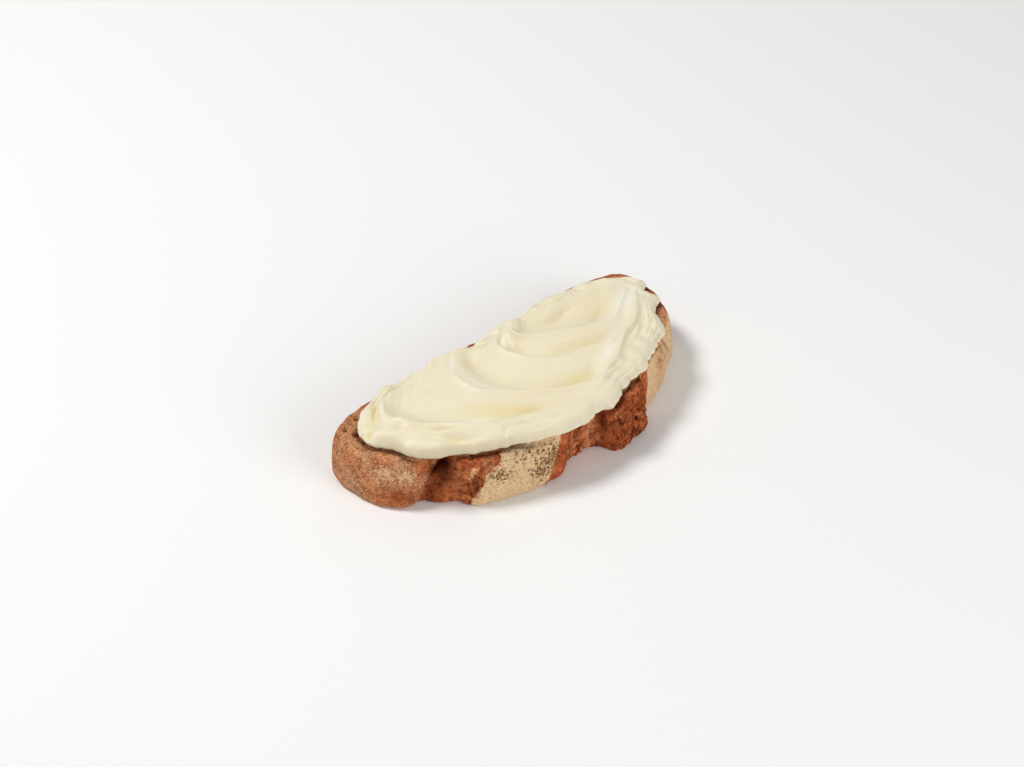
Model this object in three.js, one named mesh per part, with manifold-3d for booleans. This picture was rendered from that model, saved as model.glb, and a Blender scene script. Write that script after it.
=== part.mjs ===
// A thick slice of a rustic half-moon loaf under a generous layer of cheese spread laid on in knife swirls.
// Millimetres, +Z up. The slice lies on a cut face: the loaf's flat underside is towards +Y and its domed,
// cracked crust towards -Y. The origin is on the table under the middle of the box round the slice.
// Plan coordinates inside the slice are measured from its widest line, which runs from end to end.
import * as THREE from "three";
import { ImprovedNoise } from "three/addons/math/ImprovedNoise.js";
import { mergeVertices } from "three/addons/utils/BufferGeometryUtils.js";
import Module from "manifold-3d";

// Driving dimensions of the bread
const LEFT_REACH = 75;
const RIGHT_REACH = 76.3;
const DOME_REACH = 47;
const FLOOR_REACH = 19;
const SLICE_THICKNESS = 20;
const DOME_POWER = 2;
const LEFT_FLOOR_POWER = 3.8;
const RIGHT_FLOOR_POWER = 6;
const FOOT_RADIUS = 2.2;
const RIM_RADIUS = 1.8;
const FLARE = 2;
const BELLY = 3.4;

// Moves the box round the slice onto the origin
const SLICE_SHIFT = [-1.2, 13.8, 0];

// Plates of the cracked crust. Each stands out of the dome, or sinks into it, between two sloping edges:
// it starts at the first x, is whole from the second to the third and ends at the fourth, all at the rim.
// At the foot its two edges are shifted sideways by lean, and rim and foot say how far out it stands there.
// The rougher it is, the more it is torn.
const CRUST_PLATES = [
  { name: "left lump", edges: [-80, -78, -66, -61], lean: [0, -6], rim: -2, foot: 0.8, torn: 0 },
  { name: "flattened shoulder", edges: [-68, -61, -54, -47], lean: [0, 0], rim: -4, foot: -3.4, torn: 0 },
  { name: "crease", edges: [-57.6, -54.8, -53.4, -50.1], lean: [-8.4, -8.4], rim: -4, foot: -1.4, torn: 0.2 },
  { name: "torn strip", edges: [-45, -42, -38, -35.5], lean: [-11, -11], rim: -0.5, foot: -0.7, torn: 0.7 },
  { name: "floury plate", edges: [-38, -35.5, -14, -12], lean: [-11, -7], rim: 0.5, foot: 0.7, torn: 0 },
  { name: "torn recess", edges: [-14, -3, 8, 11.5], lean: [0, 0], rim: -4.2, foot: -6.8, torn: 0.8 },
  { name: "torn lump", edges: [9.5, 13.5, 28.5, 33.5], lean: [0, 0], rim: 2.2, foot: 4.2, torn: 1 },
  { name: "right plate", edges: [31.5, 35.5, 58, 70], lean: [0, 0], rim: -2.2, foot: -1.8, torn: 0 },
];

// The heel of the loaf swells out a little at the right of its flat underside
const HEEL = { x: 50, width: 20, out: 2.2 };
const CRAG_SIZE = 5;
const SMOOTH_CRAG_HEIGHT = 0.4;
const TORN_CRAG_HEIGHT = 1.9;
const RIM_DIP_DEPTH = 0.9;

// Open pores of the crumb: how many, how large, and how far in from the crust they keep
const UNDERSIDE_PORES = 16;
const RIM_PORES = 10;
const TORN_PORES = 9;
const PORE_RADIUS = [1.1, 2.4];
const RIM_PORE_INSET = 3.6;
const UNDERSIDE_PORE_REACH = 0.86;
const UNDERSIDE_PORE_TURN = 0.2;
const TORN_PORE_RANGE = [14, 29.5];

// Driving dimensions of the spread
const GAP = 0.3;
const SPREAD_OUTLINE = {
  x: 2.2,
  y: -2.4,
  left: 69.6,
  right: 69.9,
  front: 44.5,
  back: 15.8,
  frontPower: 1.75,
  leftBackPower: 3.4,
  rightBackPower: 3.4,
};
const EDGE_WIDTH = 8;
const EDGE_POWER = 2.2;
const EDGE_UNDERCUT = 1.1;
const DROOP = 1.2;
const DROOP_REACH = 5;

// Lobes of the spread's edge: uneven waves, and single tongues and bites at places along the outline
const CALM_WAVE = { lobes: 7, height: 0.55, phase: 0.4 };
const BROAD_WAVE = { lobes: 13, height: 0.5, phase: 2.1 };
const FINE_WAVE = { lobes: 29, height: 0.32, phase: 1.2 };
const LOBE_DEPTH = 5;
const WAVE_DEPTH = 1.8;
const EDGE_LOBES = [
  { name: "left bite", x: -66, y: 4, width: 4.5, out: -0.9 },
  { name: "back left tongue", x: -56, y: 13, width: 8, out: 1.2 },
  { name: "front left tongue", x: -57, y: -22, width: 8, out: 2.2 },
  { name: "middle bite", x: -36, y: -37, width: 6, out: -0.3 },
  { name: "long tongue", x: -22, y: -43, width: 9, out: 0.9 },
  { name: "middle tongue", x: -8, y: -47, width: 6, out: 0.7 },
  { name: "front bite", x: 5, y: -46, width: 4.5, out: -1.7 },
  { name: "right front bite", x: 22, y: -43.5, width: 5, out: -1.5 },
  { name: "long bite", x: 43, y: -35, width: 6, out: -1.5 },
  { name: "right tongue", x: 54, y: -28, width: 4, out: 0.6 },
  { name: "right bite", x: 62, y: -20, width: 5.5, out: -3.2 },
  { name: "right tip", x: 68.5, y: -11.5, width: 3, out: 0.9 },
  { name: "end bite", x: 70, y: -5, width: 3.8, out: -3.4 },
  { name: "far corner", x: 68, y: 9, width: 8, out: -3.3 },
  { name: "back bite", x: -7, y: 14, width: 5, out: -1.2 },
  { name: "back tongue", x: 37, y: 14, width: 12, out: 1.4 },
  { name: "back right tongue", x: 51, y: 13, width: 8, out: 2.4 },
];

// Knife scoops, each inside the last. A scoop's crest is a rounded curve about (x, y) that reaches so far to the
// left, right, front and back. Inside it a wall falls to a floor, which rises again to the next crest. The wall is
// leftWall wide at the end where the knife set in and rightWall wide where it lifted off. Heights are above the
// bread.
const SCOOP_POWER = 1.6;
const SCOOPS = [
  { x: 0, y: -2, left: 57, right: 62, front: 38, back: 33, leftWall: 6.5, rightWall: 4.5, crest: 6.2, floor: 2.2 },
  { x: 14, y: -4, left: 40, right: 36, front: 33, back: 24, leftWall: 14, rightWall: 5, crest: 6.9, floor: 2.4 },
  { x: 30, y: -3, left: 32, right: 34, front: 21, back: 24, leftWall: 3.6, rightWall: 5, crest: 7, floor: 3 },
  { x: 38, y: 4, left: 29, right: 27, front: 17, back: 20, leftWall: 4, rightWall: 8, crest: 7.2, floor: 3.5 },
];
const BANK_HEIGHT = 5.8;
const RIGHT_BANK = 4.6;
const RIGHT_END = [52, 66];
const WALL_WIDTH = 4.2;
const FLANK_WIDTH = 6;
const FLOOR_BEND = 1.5;
const LEFT_FILL = 0.4;
const START_RISE = 0.6;

// Single folds and, where the height is negative, grooves left by the knife's edge, turned in degrees.
const FOLDS = [
  { name: "back left fold", x: -50, y: 11, turn: 20, length: 6, width: 2.6, height: 0.9 },
  { name: "back bank", x: -36, y: 10, turn: 0, length: 15, width: 4, height: 0.8 },
  { name: "left groove", x: -59.5, y: 3.8, turn: 53, length: 7, width: 3.4, height: -2.8 },
  { name: "left bank ridge", x: -62, y: -8.5, turn: -42, length: 6, width: 1.4, height: 0.8 },
  { name: "upper bank groove", x: -47, y: -20.8, turn: -41, length: 6, width: 1.4, height: -2.4 },
  { name: "middle bank ridge", x: -46.5, y: -23.6, turn: -41, length: 7, width: 1.3, height: 0.9 },
  { name: "lower bank groove", x: -45.6, y: -27, turn: -42, length: 6.5, width: 1.7, height: -2.6 },
  { name: "left bank groove", x: -55, y: -20, turn: -45, length: 4, width: 1.2, height: -0.7 },
  { name: "bank nick", x: -31.4, y: -34.7, turn: 55, length: 2.5, width: 0.8, height: -0.6 },
  { name: "front bank groove", x: -21, y: -36.4, turn: -20, length: 8, width: 1.4, height: -1 },
  { name: "low front groove", x: -14, y: -42, turn: -12, length: 10, width: 1.5, height: -0.9 },
  { name: "first back fold", x: -23, y: 12, turn: 22, length: 4, width: 2, height: 2 },
  { name: "second back fold", x: -12, y: 9, turn: -30, length: 5, width: 1.8, height: 1 },
  { name: "third back fold", x: 7, y: 11.5, turn: -5, length: 9, width: 3.4, height: 2 },
  { name: "back pocket", x: 2.5, y: 4.6, turn: 48, length: 3.4, width: 1.3, height: -1.5 },
  { name: "back mound", x: 33, y: 9.5, turn: 4, length: 7, width: 4.5, height: 1.9 },
  { name: "mound groove", x: 32.5, y: 3.4, turn: 10, length: 6, width: 1.6, height: -1.5 },
  { name: "inner trough", x: 44.5, y: -4.6, turn: 29, length: 10, width: 2.8, height: -1.8 },
  { name: "inner ridge", x: 54.5, y: -1, turn: 62, length: 7, width: 1.8, height: 0.7 },
  { name: "right end groove", x: 50, y: -21, turn: 45, length: 8, width: 2.2, height: -1.3 },
  { name: "right bank groove", x: 30, y: -34, turn: 38, length: 6, width: 1.6, height: -0.6 },
];

// Fineness of the skins
const BREAD_RING_POINTS = 176;
const SPREAD_LATTICE = 25;
const SPREAD_RING_POINTS = 8 * SPREAD_LATTICE;
const SPREAD_TOP_REACH = 0.975;
const WALL_ROWS = 5;
const CORNER_ROWS = 2;
const RIM_RING_INSETS = [3, 6, 9.5];
const TOP_CENTRE = new THREE.Vector2(4, -5);

const { clamp, lerp, smoothstep } = THREE.MathUtils;
const perlin = new ImprovedNoise();
const wasm = await Module();
wasm.setup();

// Closed plan curve of four superellipse quarters that meet on the axes through (x, y).
class RoundedOutline extends THREE.Curve {
  constructor(shape) {
    super();
    this.shape = shape;
    this.arcLengthDivisions = 2400;
  }

  getPoint(t, target = new THREE.Vector3()) {
    const { x, y, left, right, front, back, frontPower, leftBackPower, rightBackPower } = this.shape;
    const along = Math.cos(2 * Math.PI * t);
    const across = Math.sin(2 * Math.PI * t);
    const backPower = along < 0 ? leftBackPower : rightBackPower;
    const exponent = 2 / (across < 0 ? frontPower : backPower);
    const reachX = along < 0 ? left : right;
    const reachY = across < 0 ? front : back;
    return target.set(
      x + reachX * Math.sign(along) * Math.abs(along) ** exponent,
      y + reachY * Math.sign(across) * Math.abs(across) ** exponent,
      0,
    );
  }

  // Evenly spaced points with their outward normals in plan.
  ring(count) {
    const points = this.getSpacedPoints(count).slice(0, count);
    return points.map((point, i) => {
      const ahead = points[(i + 1) % count];
      const behind = points[(i + count - 1) % count];
      const normal = new THREE.Vector3(ahead.y - behind.y, behind.x - ahead.x, 0).normalize();
      return { point, normal };
    });
  }
}

// Closed skin over a stack of rings of equal count, with a fan to a centre at each end.
function ringSkin(rings, firstCentre, lastCentre) {
  const count = rings[0].length;
  const vertices = [...rings.flat(), firstCentre, lastCentre];
  const first = vertices.length - 2;
  const last = vertices.length - 1;
  const indices = [];
  for (let i = 0; i < count; i++) {
    const next = (i + 1) % count;
    indices.push(first, next, i);
    for (let row = 0; row < rings.length - 1; row++) {
      const low = row * count;
      const high = low + count;
      indices.push(low + i, low + next, high + next, low + i, high + next, high + i);
    }
    const top = (rings.length - 1) * count;
    indices.push(last, top + i, top + next);
  }
  return new THREE.BufferGeometry().setFromPoints(vertices).setIndex(indices);
}

// Two octaves of noise at a plan or space point, from about -1 to 1.
function crag(p, size) {
  const coarse = perlin.noise(p.x / size, p.y / size, p.z / size);
  const fine = perlin.noise((2.3 * p.x) / size, (2.3 * p.y) / size, (2.3 * p.z) / size + 7);
  return 1.3 * coarse + 0.6 * fine;
}

// How much of a crust plate covers a place on the wall, from 0 to 1.
function plateShare(plate, x, height) {
  const [start, whole, fade, end] = plate.edges;
  const [startLean, endLean] = plate.lean;
  const entered = smoothstep(x - startLean * (1 - height), start, whole);
  return entered * (1 - smoothstep(x - endLean * (1 - height), fade, end));
}

// The bread's wall: plan outline, flare, belly, plates and crags.
const breadOutline = new RoundedOutline({
  x: 0,
  y: 0,
  left: LEFT_REACH,
  right: RIGHT_REACH,
  front: DOME_REACH,
  back: FLOOR_REACH,
  frontPower: DOME_POWER,
  leftBackPower: LEFT_FLOOR_POWER,
  rightBackPower: RIGHT_FLOOR_POWER,
});

function wallPoint({ point, normal }, z, inset) {
  const height = z / SLICE_THICKNESS;
  const frontShare = smoothstep(-point.y, 2, 14);
  const bellyShare = lerp(0.3, 1, smoothstep(point.x, -60, 60)) * lerp(1, 0.35, frontShare);
  let out = -FLARE * height * lerp(0.4, 1, frontShare) - inset;
  out += BELLY * bellyShare * (4 * height * (1 - height) - 0.6);
  out += HEEL.out * Math.exp(-(((point.x - HEEL.x) / HEEL.width) ** 2)) * smoothstep(point.y, 4, 14);
  let torn = 0;
  for (const plate of CRUST_PLATES) {
    const share = plateShare(plate, point.x, height) * frontShare;
    out += share * lerp(plate.foot, plate.rim, height);
    torn = Math.max(torn, share * plate.torn);
  }
  const place = new THREE.Vector3(point.x, point.y, z);
  out += crag(place, CRAG_SIZE) * lerp(SMOOTH_CRAG_HEIGHT, TORN_CRAG_HEIGHT, torn);
  return place.addScaledVector(normal, out);
}

// Heights and insets of the wall's rows, from the foot's round edge to the rim's.
function wallRows() {
  const rows = [];
  for (let i = 0; i <= CORNER_ROWS; i++) {
    const turn = ((i / CORNER_ROWS) * Math.PI) / 2;
    rows.push({ z: FOOT_RADIUS * (1 - Math.cos(turn)), inset: FOOT_RADIUS * (1 - Math.sin(turn)) });
  }
  const wallTop = SLICE_THICKNESS - RIM_RADIUS;
  for (let i = 1; i <= WALL_ROWS; i++) {
    rows.push({ z: lerp(FOOT_RADIUS, wallTop, i / (WALL_ROWS + 1)), inset: 0 });
  }
  for (let i = CORNER_ROWS; i >= 0; i--) {
    const turn = ((i / CORNER_ROWS) * Math.PI) / 2;
    rows.push({ z: SLICE_THICKNESS - RIM_RADIUS * (1 - Math.cos(turn)), inset: RIM_RADIUS * (1 - Math.sin(turn)) });
  }
  return rows;
}

// A point moved in plan towards a centre by a set distance.
function inwards(p, centre, distance) {
  const way = new THREE.Vector3(centre.x - p.x, centre.y - p.y, 0);
  return p.clone().addScaledVector(way.normalize(), distance);
}

function breadSkin() {
  const outline = breadOutline.ring(BREAD_RING_POINTS);
  const rings = wallRows().map(({ z, inset }) => outline.map((place) => wallPoint(place, z, inset)));
  const rim = rings[rings.length - 1];
  for (const inset of RIM_RING_INSETS) {
    rings.push(
      rim.map((p) => {
        const q = inwards(p, TOP_CENTRE, inset);
        q.z = SLICE_THICKNESS - RIM_DIP_DEPTH * clamp(crag(q, CRAG_SIZE), 0, 1);
        return q;
      }),
    );
  }
  rings[rings.length - 1].forEach((p) => (p.z = SLICE_THICKNESS));
  const foot = new THREE.Vector3(TOP_CENTRE.x, TOP_CENTRE.y, 0);
  const top = foot.clone().setZ(SLICE_THICKNESS);
  return ringSkin(rings, foot, top);
}

// Centres of the pores, spread by the golden angle, with sizes that step through their range.
const GOLDEN_ANGLE = Math.PI * (3 - Math.sqrt(5));

function poreRadius(i) {
  return lerp(...PORE_RADIUS, (i * 0.618) % 1);
}

function pores() {
  const found = [];
  for (let i = 0; i < UNDERSIDE_PORES; i++) {
    const reach = UNDERSIDE_PORE_REACH * Math.sqrt((i + 0.7) / UNDERSIDE_PORES);
    const edge = breadOutline.getPoint((UNDERSIDE_PORE_TURN + (i * GOLDEN_ANGLE) / (2 * Math.PI)) % 1);
    const radius = poreRadius(i);
    found.push({ centre: new THREE.Vector3(edge.x * reach, edge.y * reach, -0.25 * radius), radius });
  }
  for (let i = 0; i < RIM_PORES; i++) {
    const edge = breadOutline.getPointAt(0.47 + 0.016 * i);
    const radius = lerp(0.8, 0.6, i / RIM_PORES) * poreRadius(i);
    const centre = inwards(edge, TOP_CENTRE, RIM_PORE_INSET + 1.4 * Math.sin(2.4 * i));
    found.push({ centre: centre.setZ(SLICE_THICKNESS), radius });
  }
  for (let i = 0; i < TORN_PORES; i++) {
    const x = lerp(...TORN_PORE_RANGE, (i + 0.5) / TORN_PORES);
    const y = -DOME_REACH * Math.sqrt(1 - (x / RIGHT_REACH) ** 2);
    const place = { point: new THREE.Vector3(x, y, 0), normal: new THREE.Vector3(x / 60, y / 24, 0).normalize() };
    const z = SLICE_THICKNESS * (0.2 + 0.62 * ((i * 0.618) % 1));
    found.push({ centre: wallPoint(place, z, 0.2), radius: 0.75 * poreRadius(i) });
  }
  return found;
}

// Boolean cuts
function toSolid(geometry) {
  const bare = new THREE.BufferGeometry().setAttribute("position", geometry.getAttribute("position"));
  bare.setIndex(geometry.index);
  const merged = mergeVertices(bare, 1e-4);
  const vertProperties = new Float32Array(merged.getAttribute("position").array);
  const triVerts = new Uint32Array(merged.index.array);
  return new wasm.Manifold(new wasm.Mesh({ numProp: 3, vertProperties, triVerts }));
}

function toGeometry(solid) {
  const mesh = solid.getMesh();
  const geometry = new THREE.BufferGeometry();
  geometry.setAttribute("position", new THREE.BufferAttribute(new Float32Array(mesh.vertProperties), 3));
  geometry.setIndex(new THREE.BufferAttribute(new Uint32Array(mesh.triVerts), 1));
  return geometry;
}

function breadGeometry() {
  let solid = toSolid(breadSkin());
  pores().forEach(({ centre, radius }, i) => {
    const bubble = new THREE.SphereGeometry(radius, 7, 5);
    bubble.rotateZ(i).scale(1.25, 1, 0.9).rotateZ(2 * i).translate(centre.x, centre.y, centre.z);
    solid = solid.subtract(toSolid(bubble));
  });
  return toGeometry(solid);
}

// Distance inside a scoop's crest curve, negative outside, good close to the curve.
function insideScoop(scoop, x, y) {
  const dx = x - scoop.x;
  const dy = y - scoop.y;
  const reachX = dx < 0 ? scoop.left : scoop.right;
  const reachY = dy < 0 ? scoop.front : scoop.back;
  const qx = Math.abs(dx / reachX);
  const qy = Math.abs(dy / reachY);
  const radius = Math.max((qx ** SCOOP_POWER + qy ** SCOOP_POWER) ** (1 / SCOOP_POWER), 0.05);
  const slopeX = (qx / radius) ** (SCOOP_POWER - 1) / reachX;
  const slopeY = (qy / radius) ** (SCOOP_POWER - 1) / reachY;
  return (1 - radius) / Math.hypot(slopeX, slopeY);
}

// Height of the spread above the bread, before its edge rounds down.
function swirlHeight(x, y) {
  const waveX = x + 0.9 * Math.sin(0.21 * y + 0.05 * x) + 0.4 * Math.sin(0.47 * y + 1);
  const waveY = y + 0.9 * Math.sin(0.17 * x + 0.6) + 0.35 * Math.sin(0.41 * x + 2);
  const insides = SCOOPS.map((scoop) => insideScoop(scoop, waveX, waveY));
  for (let i = SCOOPS.length - 2; i >= 0; i--) insides[i] = Math.max(insides[i], insides[i + 1]);
  const starts = SCOOPS.map((scoop) => smoothstep((scoop.x - waveX) / scoop.left, 0.55, 1));
  const atRight = smoothstep(waveX, ...RIGHT_END);
  const frontRight = smoothstep(waveX, -5, 25) * smoothstep(-waveY, 0, 12);
  const ripple = 0.4 * Math.sin(0.09 * x + 0.8) * Math.sin(0.13 * y);
  const bank = lerp(BANK_HEIGHT, RIGHT_BANK, Math.max(frontRight, smoothstep(waveX, 48, 64))) + ripple;
  const filled = Math.max(atRight, smoothstep(waveY, 1, 12));
  const faded = Math.max(atRight, smoothstep(waveY, 4, 13));
  const crests = SCOOPS.map((scoop, i) => {
    const crest = scoop.crest + START_RISE * starts[i] + 0.25 * Math.sin(0.13 * x + 1.7 * i);
    return lerp(crest, bank + 0.6, faded);
  });
  let height = lerp(bank, crests[0], Math.exp(-((Math.min(insides[0], 0) / FLANK_WIDTH) ** 2)));
  SCOOPS.forEach((scoop, i) => {
    const inside = insides[i];
    if (inside <= 0) return;
    const trough = scoop.floor + 0.3 * Math.sin(0.11 * x + 0.17 * y + 2 * i);
    const floor = lerp(trough + LEFT_FILL * (1 - smoothstep(waveX, -50, -25)), bank, filled);
    const isLast = i === SCOOPS.length - 1;
    const share = isLast ? 0 : inside / (inside + Math.max(-insides[i + 1], 0));
    const rise = isLast ? floor : lerp(floor, crests[i + 1], share ** FLOOR_BEND);
    const runOut = smoothstep(waveX, scoop.x - 0.4 * scoop.left, scoop.x + 0.4 * scoop.right);
    const width = lerp(lerp(WALL_WIDTH, scoop.leftWall, starts[i]), scoop.rightWall, runOut);
    height = lerp(rise, crests[i], Math.exp(-((inside / width) ** 2)) * (1 - share ** 2));
  });
  for (const fold of FOLDS) {
    const turn = THREE.MathUtils.degToRad(fold.turn);
    const along = (waveX - fold.x) * Math.cos(turn) + (waveY - fold.y) * Math.sin(turn);
    const across = (waveY - fold.y) * Math.cos(turn) - (waveX - fold.x) * Math.sin(turn);
    height += fold.height * Math.exp(-((along / fold.length) ** 2) - (across / fold.width) ** 2);
  }
  return height;
}

// Share of the full height at a distance in from the edge, rounding over like a thick bead.
function edgeShare(distance) {
  const left = clamp(1 - distance / EDGE_WIDTH, 0, 1);
  return (1 - left ** EDGE_POWER) ** (1 / EDGE_POWER);
}

// How far out a wave of the edge stands: the waves are lower at the left and higher at the right.
function waveOut({ lobes, height, phase }, turn, x) {
  const share = lerp(0.45, 1.15, smoothstep(x, -30, 25));
  return share * height * Math.sin(lobes * turn + phase + 0.8 * Math.sin(2 * turn));
}

// The spread's edge in plan: its calm shape, and what tongues and bites and what fine waves add to it.
function spreadEdge() {
  const ring = new RoundedOutline(SPREAD_OUTLINE).ring(SPREAD_RING_POINTS);
  return ring.map(({ point, normal }, i) => {
    const turn = (2 * Math.PI * i) / SPREAD_RING_POINTS;
    let lobed = waveOut(BROAD_WAVE, turn, point.x);
    for (const lobe of EDGE_LOBES) {
      const away = Math.hypot(point.x - lobe.x, point.y - lobe.y) / lobe.width;
      lobed += lobe.out * Math.exp(-away * away);
    }
    return {
      calm: point.clone().addScaledVector(normal, waveOut(CALM_WAVE, turn, point.x)),
      lobed: normal.clone().multiplyScalar(lobed),
      waved: normal.clone().multiplyScalar(waveOut(FINE_WAVE, turn, point.x)),
    };
  });
}

// How far a point of the spread's edge lies past the bread's rim, negative when it lies over the bread.
function overhang(p, rim) {
  let nearest = rim[0];
  for (const q of rim) {
    if (q.distanceToSquared(p) < nearest.distanceToSquared(p)) nearest = q;
  }
  const away = Math.hypot(p.x - nearest.x, p.y - nearest.y);
  const ahead = (p.x - nearest.x) * (nearest.x - TOP_CENTRE.x) + (p.y - nearest.y) * (nearest.y - TOP_CENTRE.y);
  return ahead > 0 ? away : -away;
}

// Turn of a lattice point round the middle, from 0 to 1 and starting at the right end, when each square
// ring of the lattice is wrapped onto one ring of the spread.
function latticeTurn(i, j, ring) {
  if (ring === 0) return 0;
  let steps = 6 * ring + (i + ring);
  if (i === ring && j < ring) steps = j + ring;
  else if (j === ring && i > -ring) steps = 3 * ring - i;
  else if (i === -ring && j > -ring) steps = 5 * ring - j;
  return (steps / (8 * ring) + 7 / 8) % 1;
}

// A list of numbers or points read between its entries, for a turn from 0 to 1.
function readRing(list, turn, mix) {
  const place = turn * list.length;
  const index = Math.floor(place);
  return mix(list[index % list.length], list[(index + 1) % list.length], place - index);
}

// A ring of numbers, each replaced by the mean of those up to some places away.
function evened(ring, reach) {
  return ring.map((_, i) => {
    let sum = 0;
    for (let step = -reach; step <= reach; step++) sum += ring[(i + step + ring.length) % ring.length];
    return sum / (2 * reach + 1);
  });
}

function mixPoints(a, b, t) {
  return a.clone().lerp(b, t);
}

function spreadGeometry() {
  const rimZ = SLICE_THICKNESS - RIM_RADIUS;
  const rim = breadOutline.ring(BREAD_RING_POINTS).map((place) => wallPoint(place, rimZ, 0));
  const base = SLICE_THICKNESS + GAP;
  const edgeShapes = spreadEdge();
  const calm = edgeShapes.map((shape) => shape.calm);
  const lobed = edgeShapes.map((shape) => shape.lobed);
  const waved = edgeShapes.map((shape) => shape.waved);
  const edge = edgeShapes.map((shape) => shape.calm.clone().add(shape.lobed).add(shape.waved));
  const overhangs = edge.map((p) => overhang(p, rim));
  const sagging = overhangs.map((past) => DROOP * smoothstep(past, 1.5, 5));
  const droops = evened(sagging, DROOP_REACH);

  // The swirled top
  const size = SPREAD_LATTICE;
  const side = 2 * size + 1;
  const vertices = [];
  const boundary = new Array(SPREAD_RING_POINTS);
  for (let i = -size; i <= size; i++) {
    for (let j = -size; j <= size; j++) {
      const ring = Math.max(Math.abs(i), Math.abs(j));
      const turn = latticeTurn(i, j, ring);
      const share = (SPREAD_TOP_REACH * ring) / size;
      const out = readRing(calm, turn, mixPoints);
      const plan = new THREE.Vector3(TOP_CENTRE.x, TOP_CENTRE.y, 0).lerp(out, share);
      const distance = plan.distanceTo(out);
      plan.addScaledVector(readRing(lobed, turn, mixPoints), Math.exp(-((distance / LOBE_DEPTH) ** 2)));
      plan.addScaledVector(readRing(waved, turn, mixPoints), Math.exp(-((distance / WAVE_DEPTH) ** 2)));
      const { x, y } = plan;
      const sag = readRing(droops, turn, lerp) * Math.exp(-distance / 3);
      if (ring === size) boundary[Math.round(turn * SPREAD_RING_POINTS)] = vertices.length;
      vertices.push(new THREE.Vector3(x, y, base + edgeShare(distance) * swirlHeight(x, y) - sag));
    }
  }
  const indices = [];
  for (let column = 0; column < side - 1; column++) {
    for (let row = 0; row < side - 1; row++) {
      const a = column * side + row;
      const b = a + side;
      const c = b + 1;
      const d = a + 1;
      const levelA = Math.abs(vertices[a].z - vertices[c].z) < Math.abs(vertices[b].z - vertices[d].z);
      if (levelA) indices.push(a, b, c, a, c, d);
      else indices.push(a, b, d, b, c, d);
    }
  }

  // The rounded edge and the flat underside
  const seatInsets = overhangs.map((past) => Math.max(EDGE_UNDERCUT + 2.6, past + 0.4));
  const edgeRings = [
    edge.map((p, i) => inwards(p, TOP_CENTRE, 0.3).setZ(base + 2.2 - droops[i])),
    edge.map((p, i) => p.clone().setZ(base + 1.1 - droops[i])),
    edge.map((p, i) => inwards(p, TOP_CENTRE, EDGE_UNDERCUT).setZ(base - 0.7 * droops[i])),
    edge.map((p, i) => inwards(p, TOP_CENTRE, seatInsets[i]).setZ(base)),
  ];
  let upper = boundary;
  for (const ring of edgeRings) {
    const lower = ring.map((p) => vertices.push(p) - 1);
    lower.forEach((low, i) => {
      const next = (i + 1) % lower.length;
      indices.push(upper[i], low, lower[next], upper[i], lower[next], upper[next]);
    });
    upper = lower;
  }
  const floorCentre = vertices.push(new THREE.Vector3(TOP_CENTRE.x, TOP_CENTRE.y, base)) - 1;
  upper.forEach((low, i) => indices.push(low, floorCentre, upper[(i + 1) % upper.length]));
  return new THREE.BufferGeometry().setFromPoints(vertices).setIndex(indices);
}

const breadCrust = new THREE.MeshStandardMaterial({ color: 0xa86440, roughness: 0.9, metalness: 0 });
const freshSpread = new THREE.MeshStandardMaterial({ color: 0xefe6c9, roughness: 0.42, metalness: 0 });

const bread = new THREE.Mesh(breadGeometry(), breadCrust);
bread.name = "bread_slice";
const spread = new THREE.Mesh(spreadGeometry(), freshSpread);
spread.name = "cheese_spread";

const slice = new THREE.Group();
slice.position.set(...SLICE_SHIFT);
slice.add(bread, spread);

const breadWithSpread = new THREE.Group();
breadWithSpread.add(slice);

export default breadWithSpread;
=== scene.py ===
"""Looks of a thick slice of rustic bread under swirled cheese spread.

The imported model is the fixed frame, in metres. Plan sizes of the slice and of the spread are given here in
millimetres from the slice's widest line, as the solids are drawn, and become metres when a mesh is made.
"""

import logging
import math
from dataclasses import dataclass, field
from enum import Enum
from functools import reduce
from typing import Any, Sequence

import bmesh
import bpy
import numpy as np
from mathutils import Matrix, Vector
from mathutils.kdtree import KDTree


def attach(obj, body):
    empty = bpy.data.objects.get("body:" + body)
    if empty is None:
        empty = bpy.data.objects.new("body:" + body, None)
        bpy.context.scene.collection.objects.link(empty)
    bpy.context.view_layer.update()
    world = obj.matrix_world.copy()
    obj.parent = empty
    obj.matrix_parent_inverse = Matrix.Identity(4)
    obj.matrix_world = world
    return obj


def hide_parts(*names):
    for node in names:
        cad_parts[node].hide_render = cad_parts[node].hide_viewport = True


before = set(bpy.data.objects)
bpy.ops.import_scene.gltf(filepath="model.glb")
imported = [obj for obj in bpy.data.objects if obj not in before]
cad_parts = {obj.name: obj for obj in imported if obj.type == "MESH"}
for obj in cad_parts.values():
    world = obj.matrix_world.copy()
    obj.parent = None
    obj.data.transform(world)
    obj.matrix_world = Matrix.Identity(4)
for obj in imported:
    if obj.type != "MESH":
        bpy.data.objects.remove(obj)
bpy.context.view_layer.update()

Array = np.ndarray
Socket = bpy.types.NodeSocket
Colour = tuple[float, float, float, float]

# A span goes from a low to a high value, and a ramp is a span with the values at its two ends.
# Layers are the number of a pattern's finer layers and their strength.
# A pattern is the size of its lumps in metres, followed by its layers.
Span = tuple[float, float]
Ramp = tuple[float, float, float, float]
Layers = tuple[float, float]
Pattern = tuple[float, float, float]

MM = 0.001
SLICE_SHIFT = np.array([-1.2, 13.8, 0.0])
SLICE_THICKNESS = 20.0
TOP_CENTRE = np.array([4.0, -5.0])
SCREEN_WHITE = 255.0
SCREEN_OFFSET = 0.055
SCREEN_GAMMA = 2.4

log = logging.getLogger("bread_with_spread")


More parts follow.
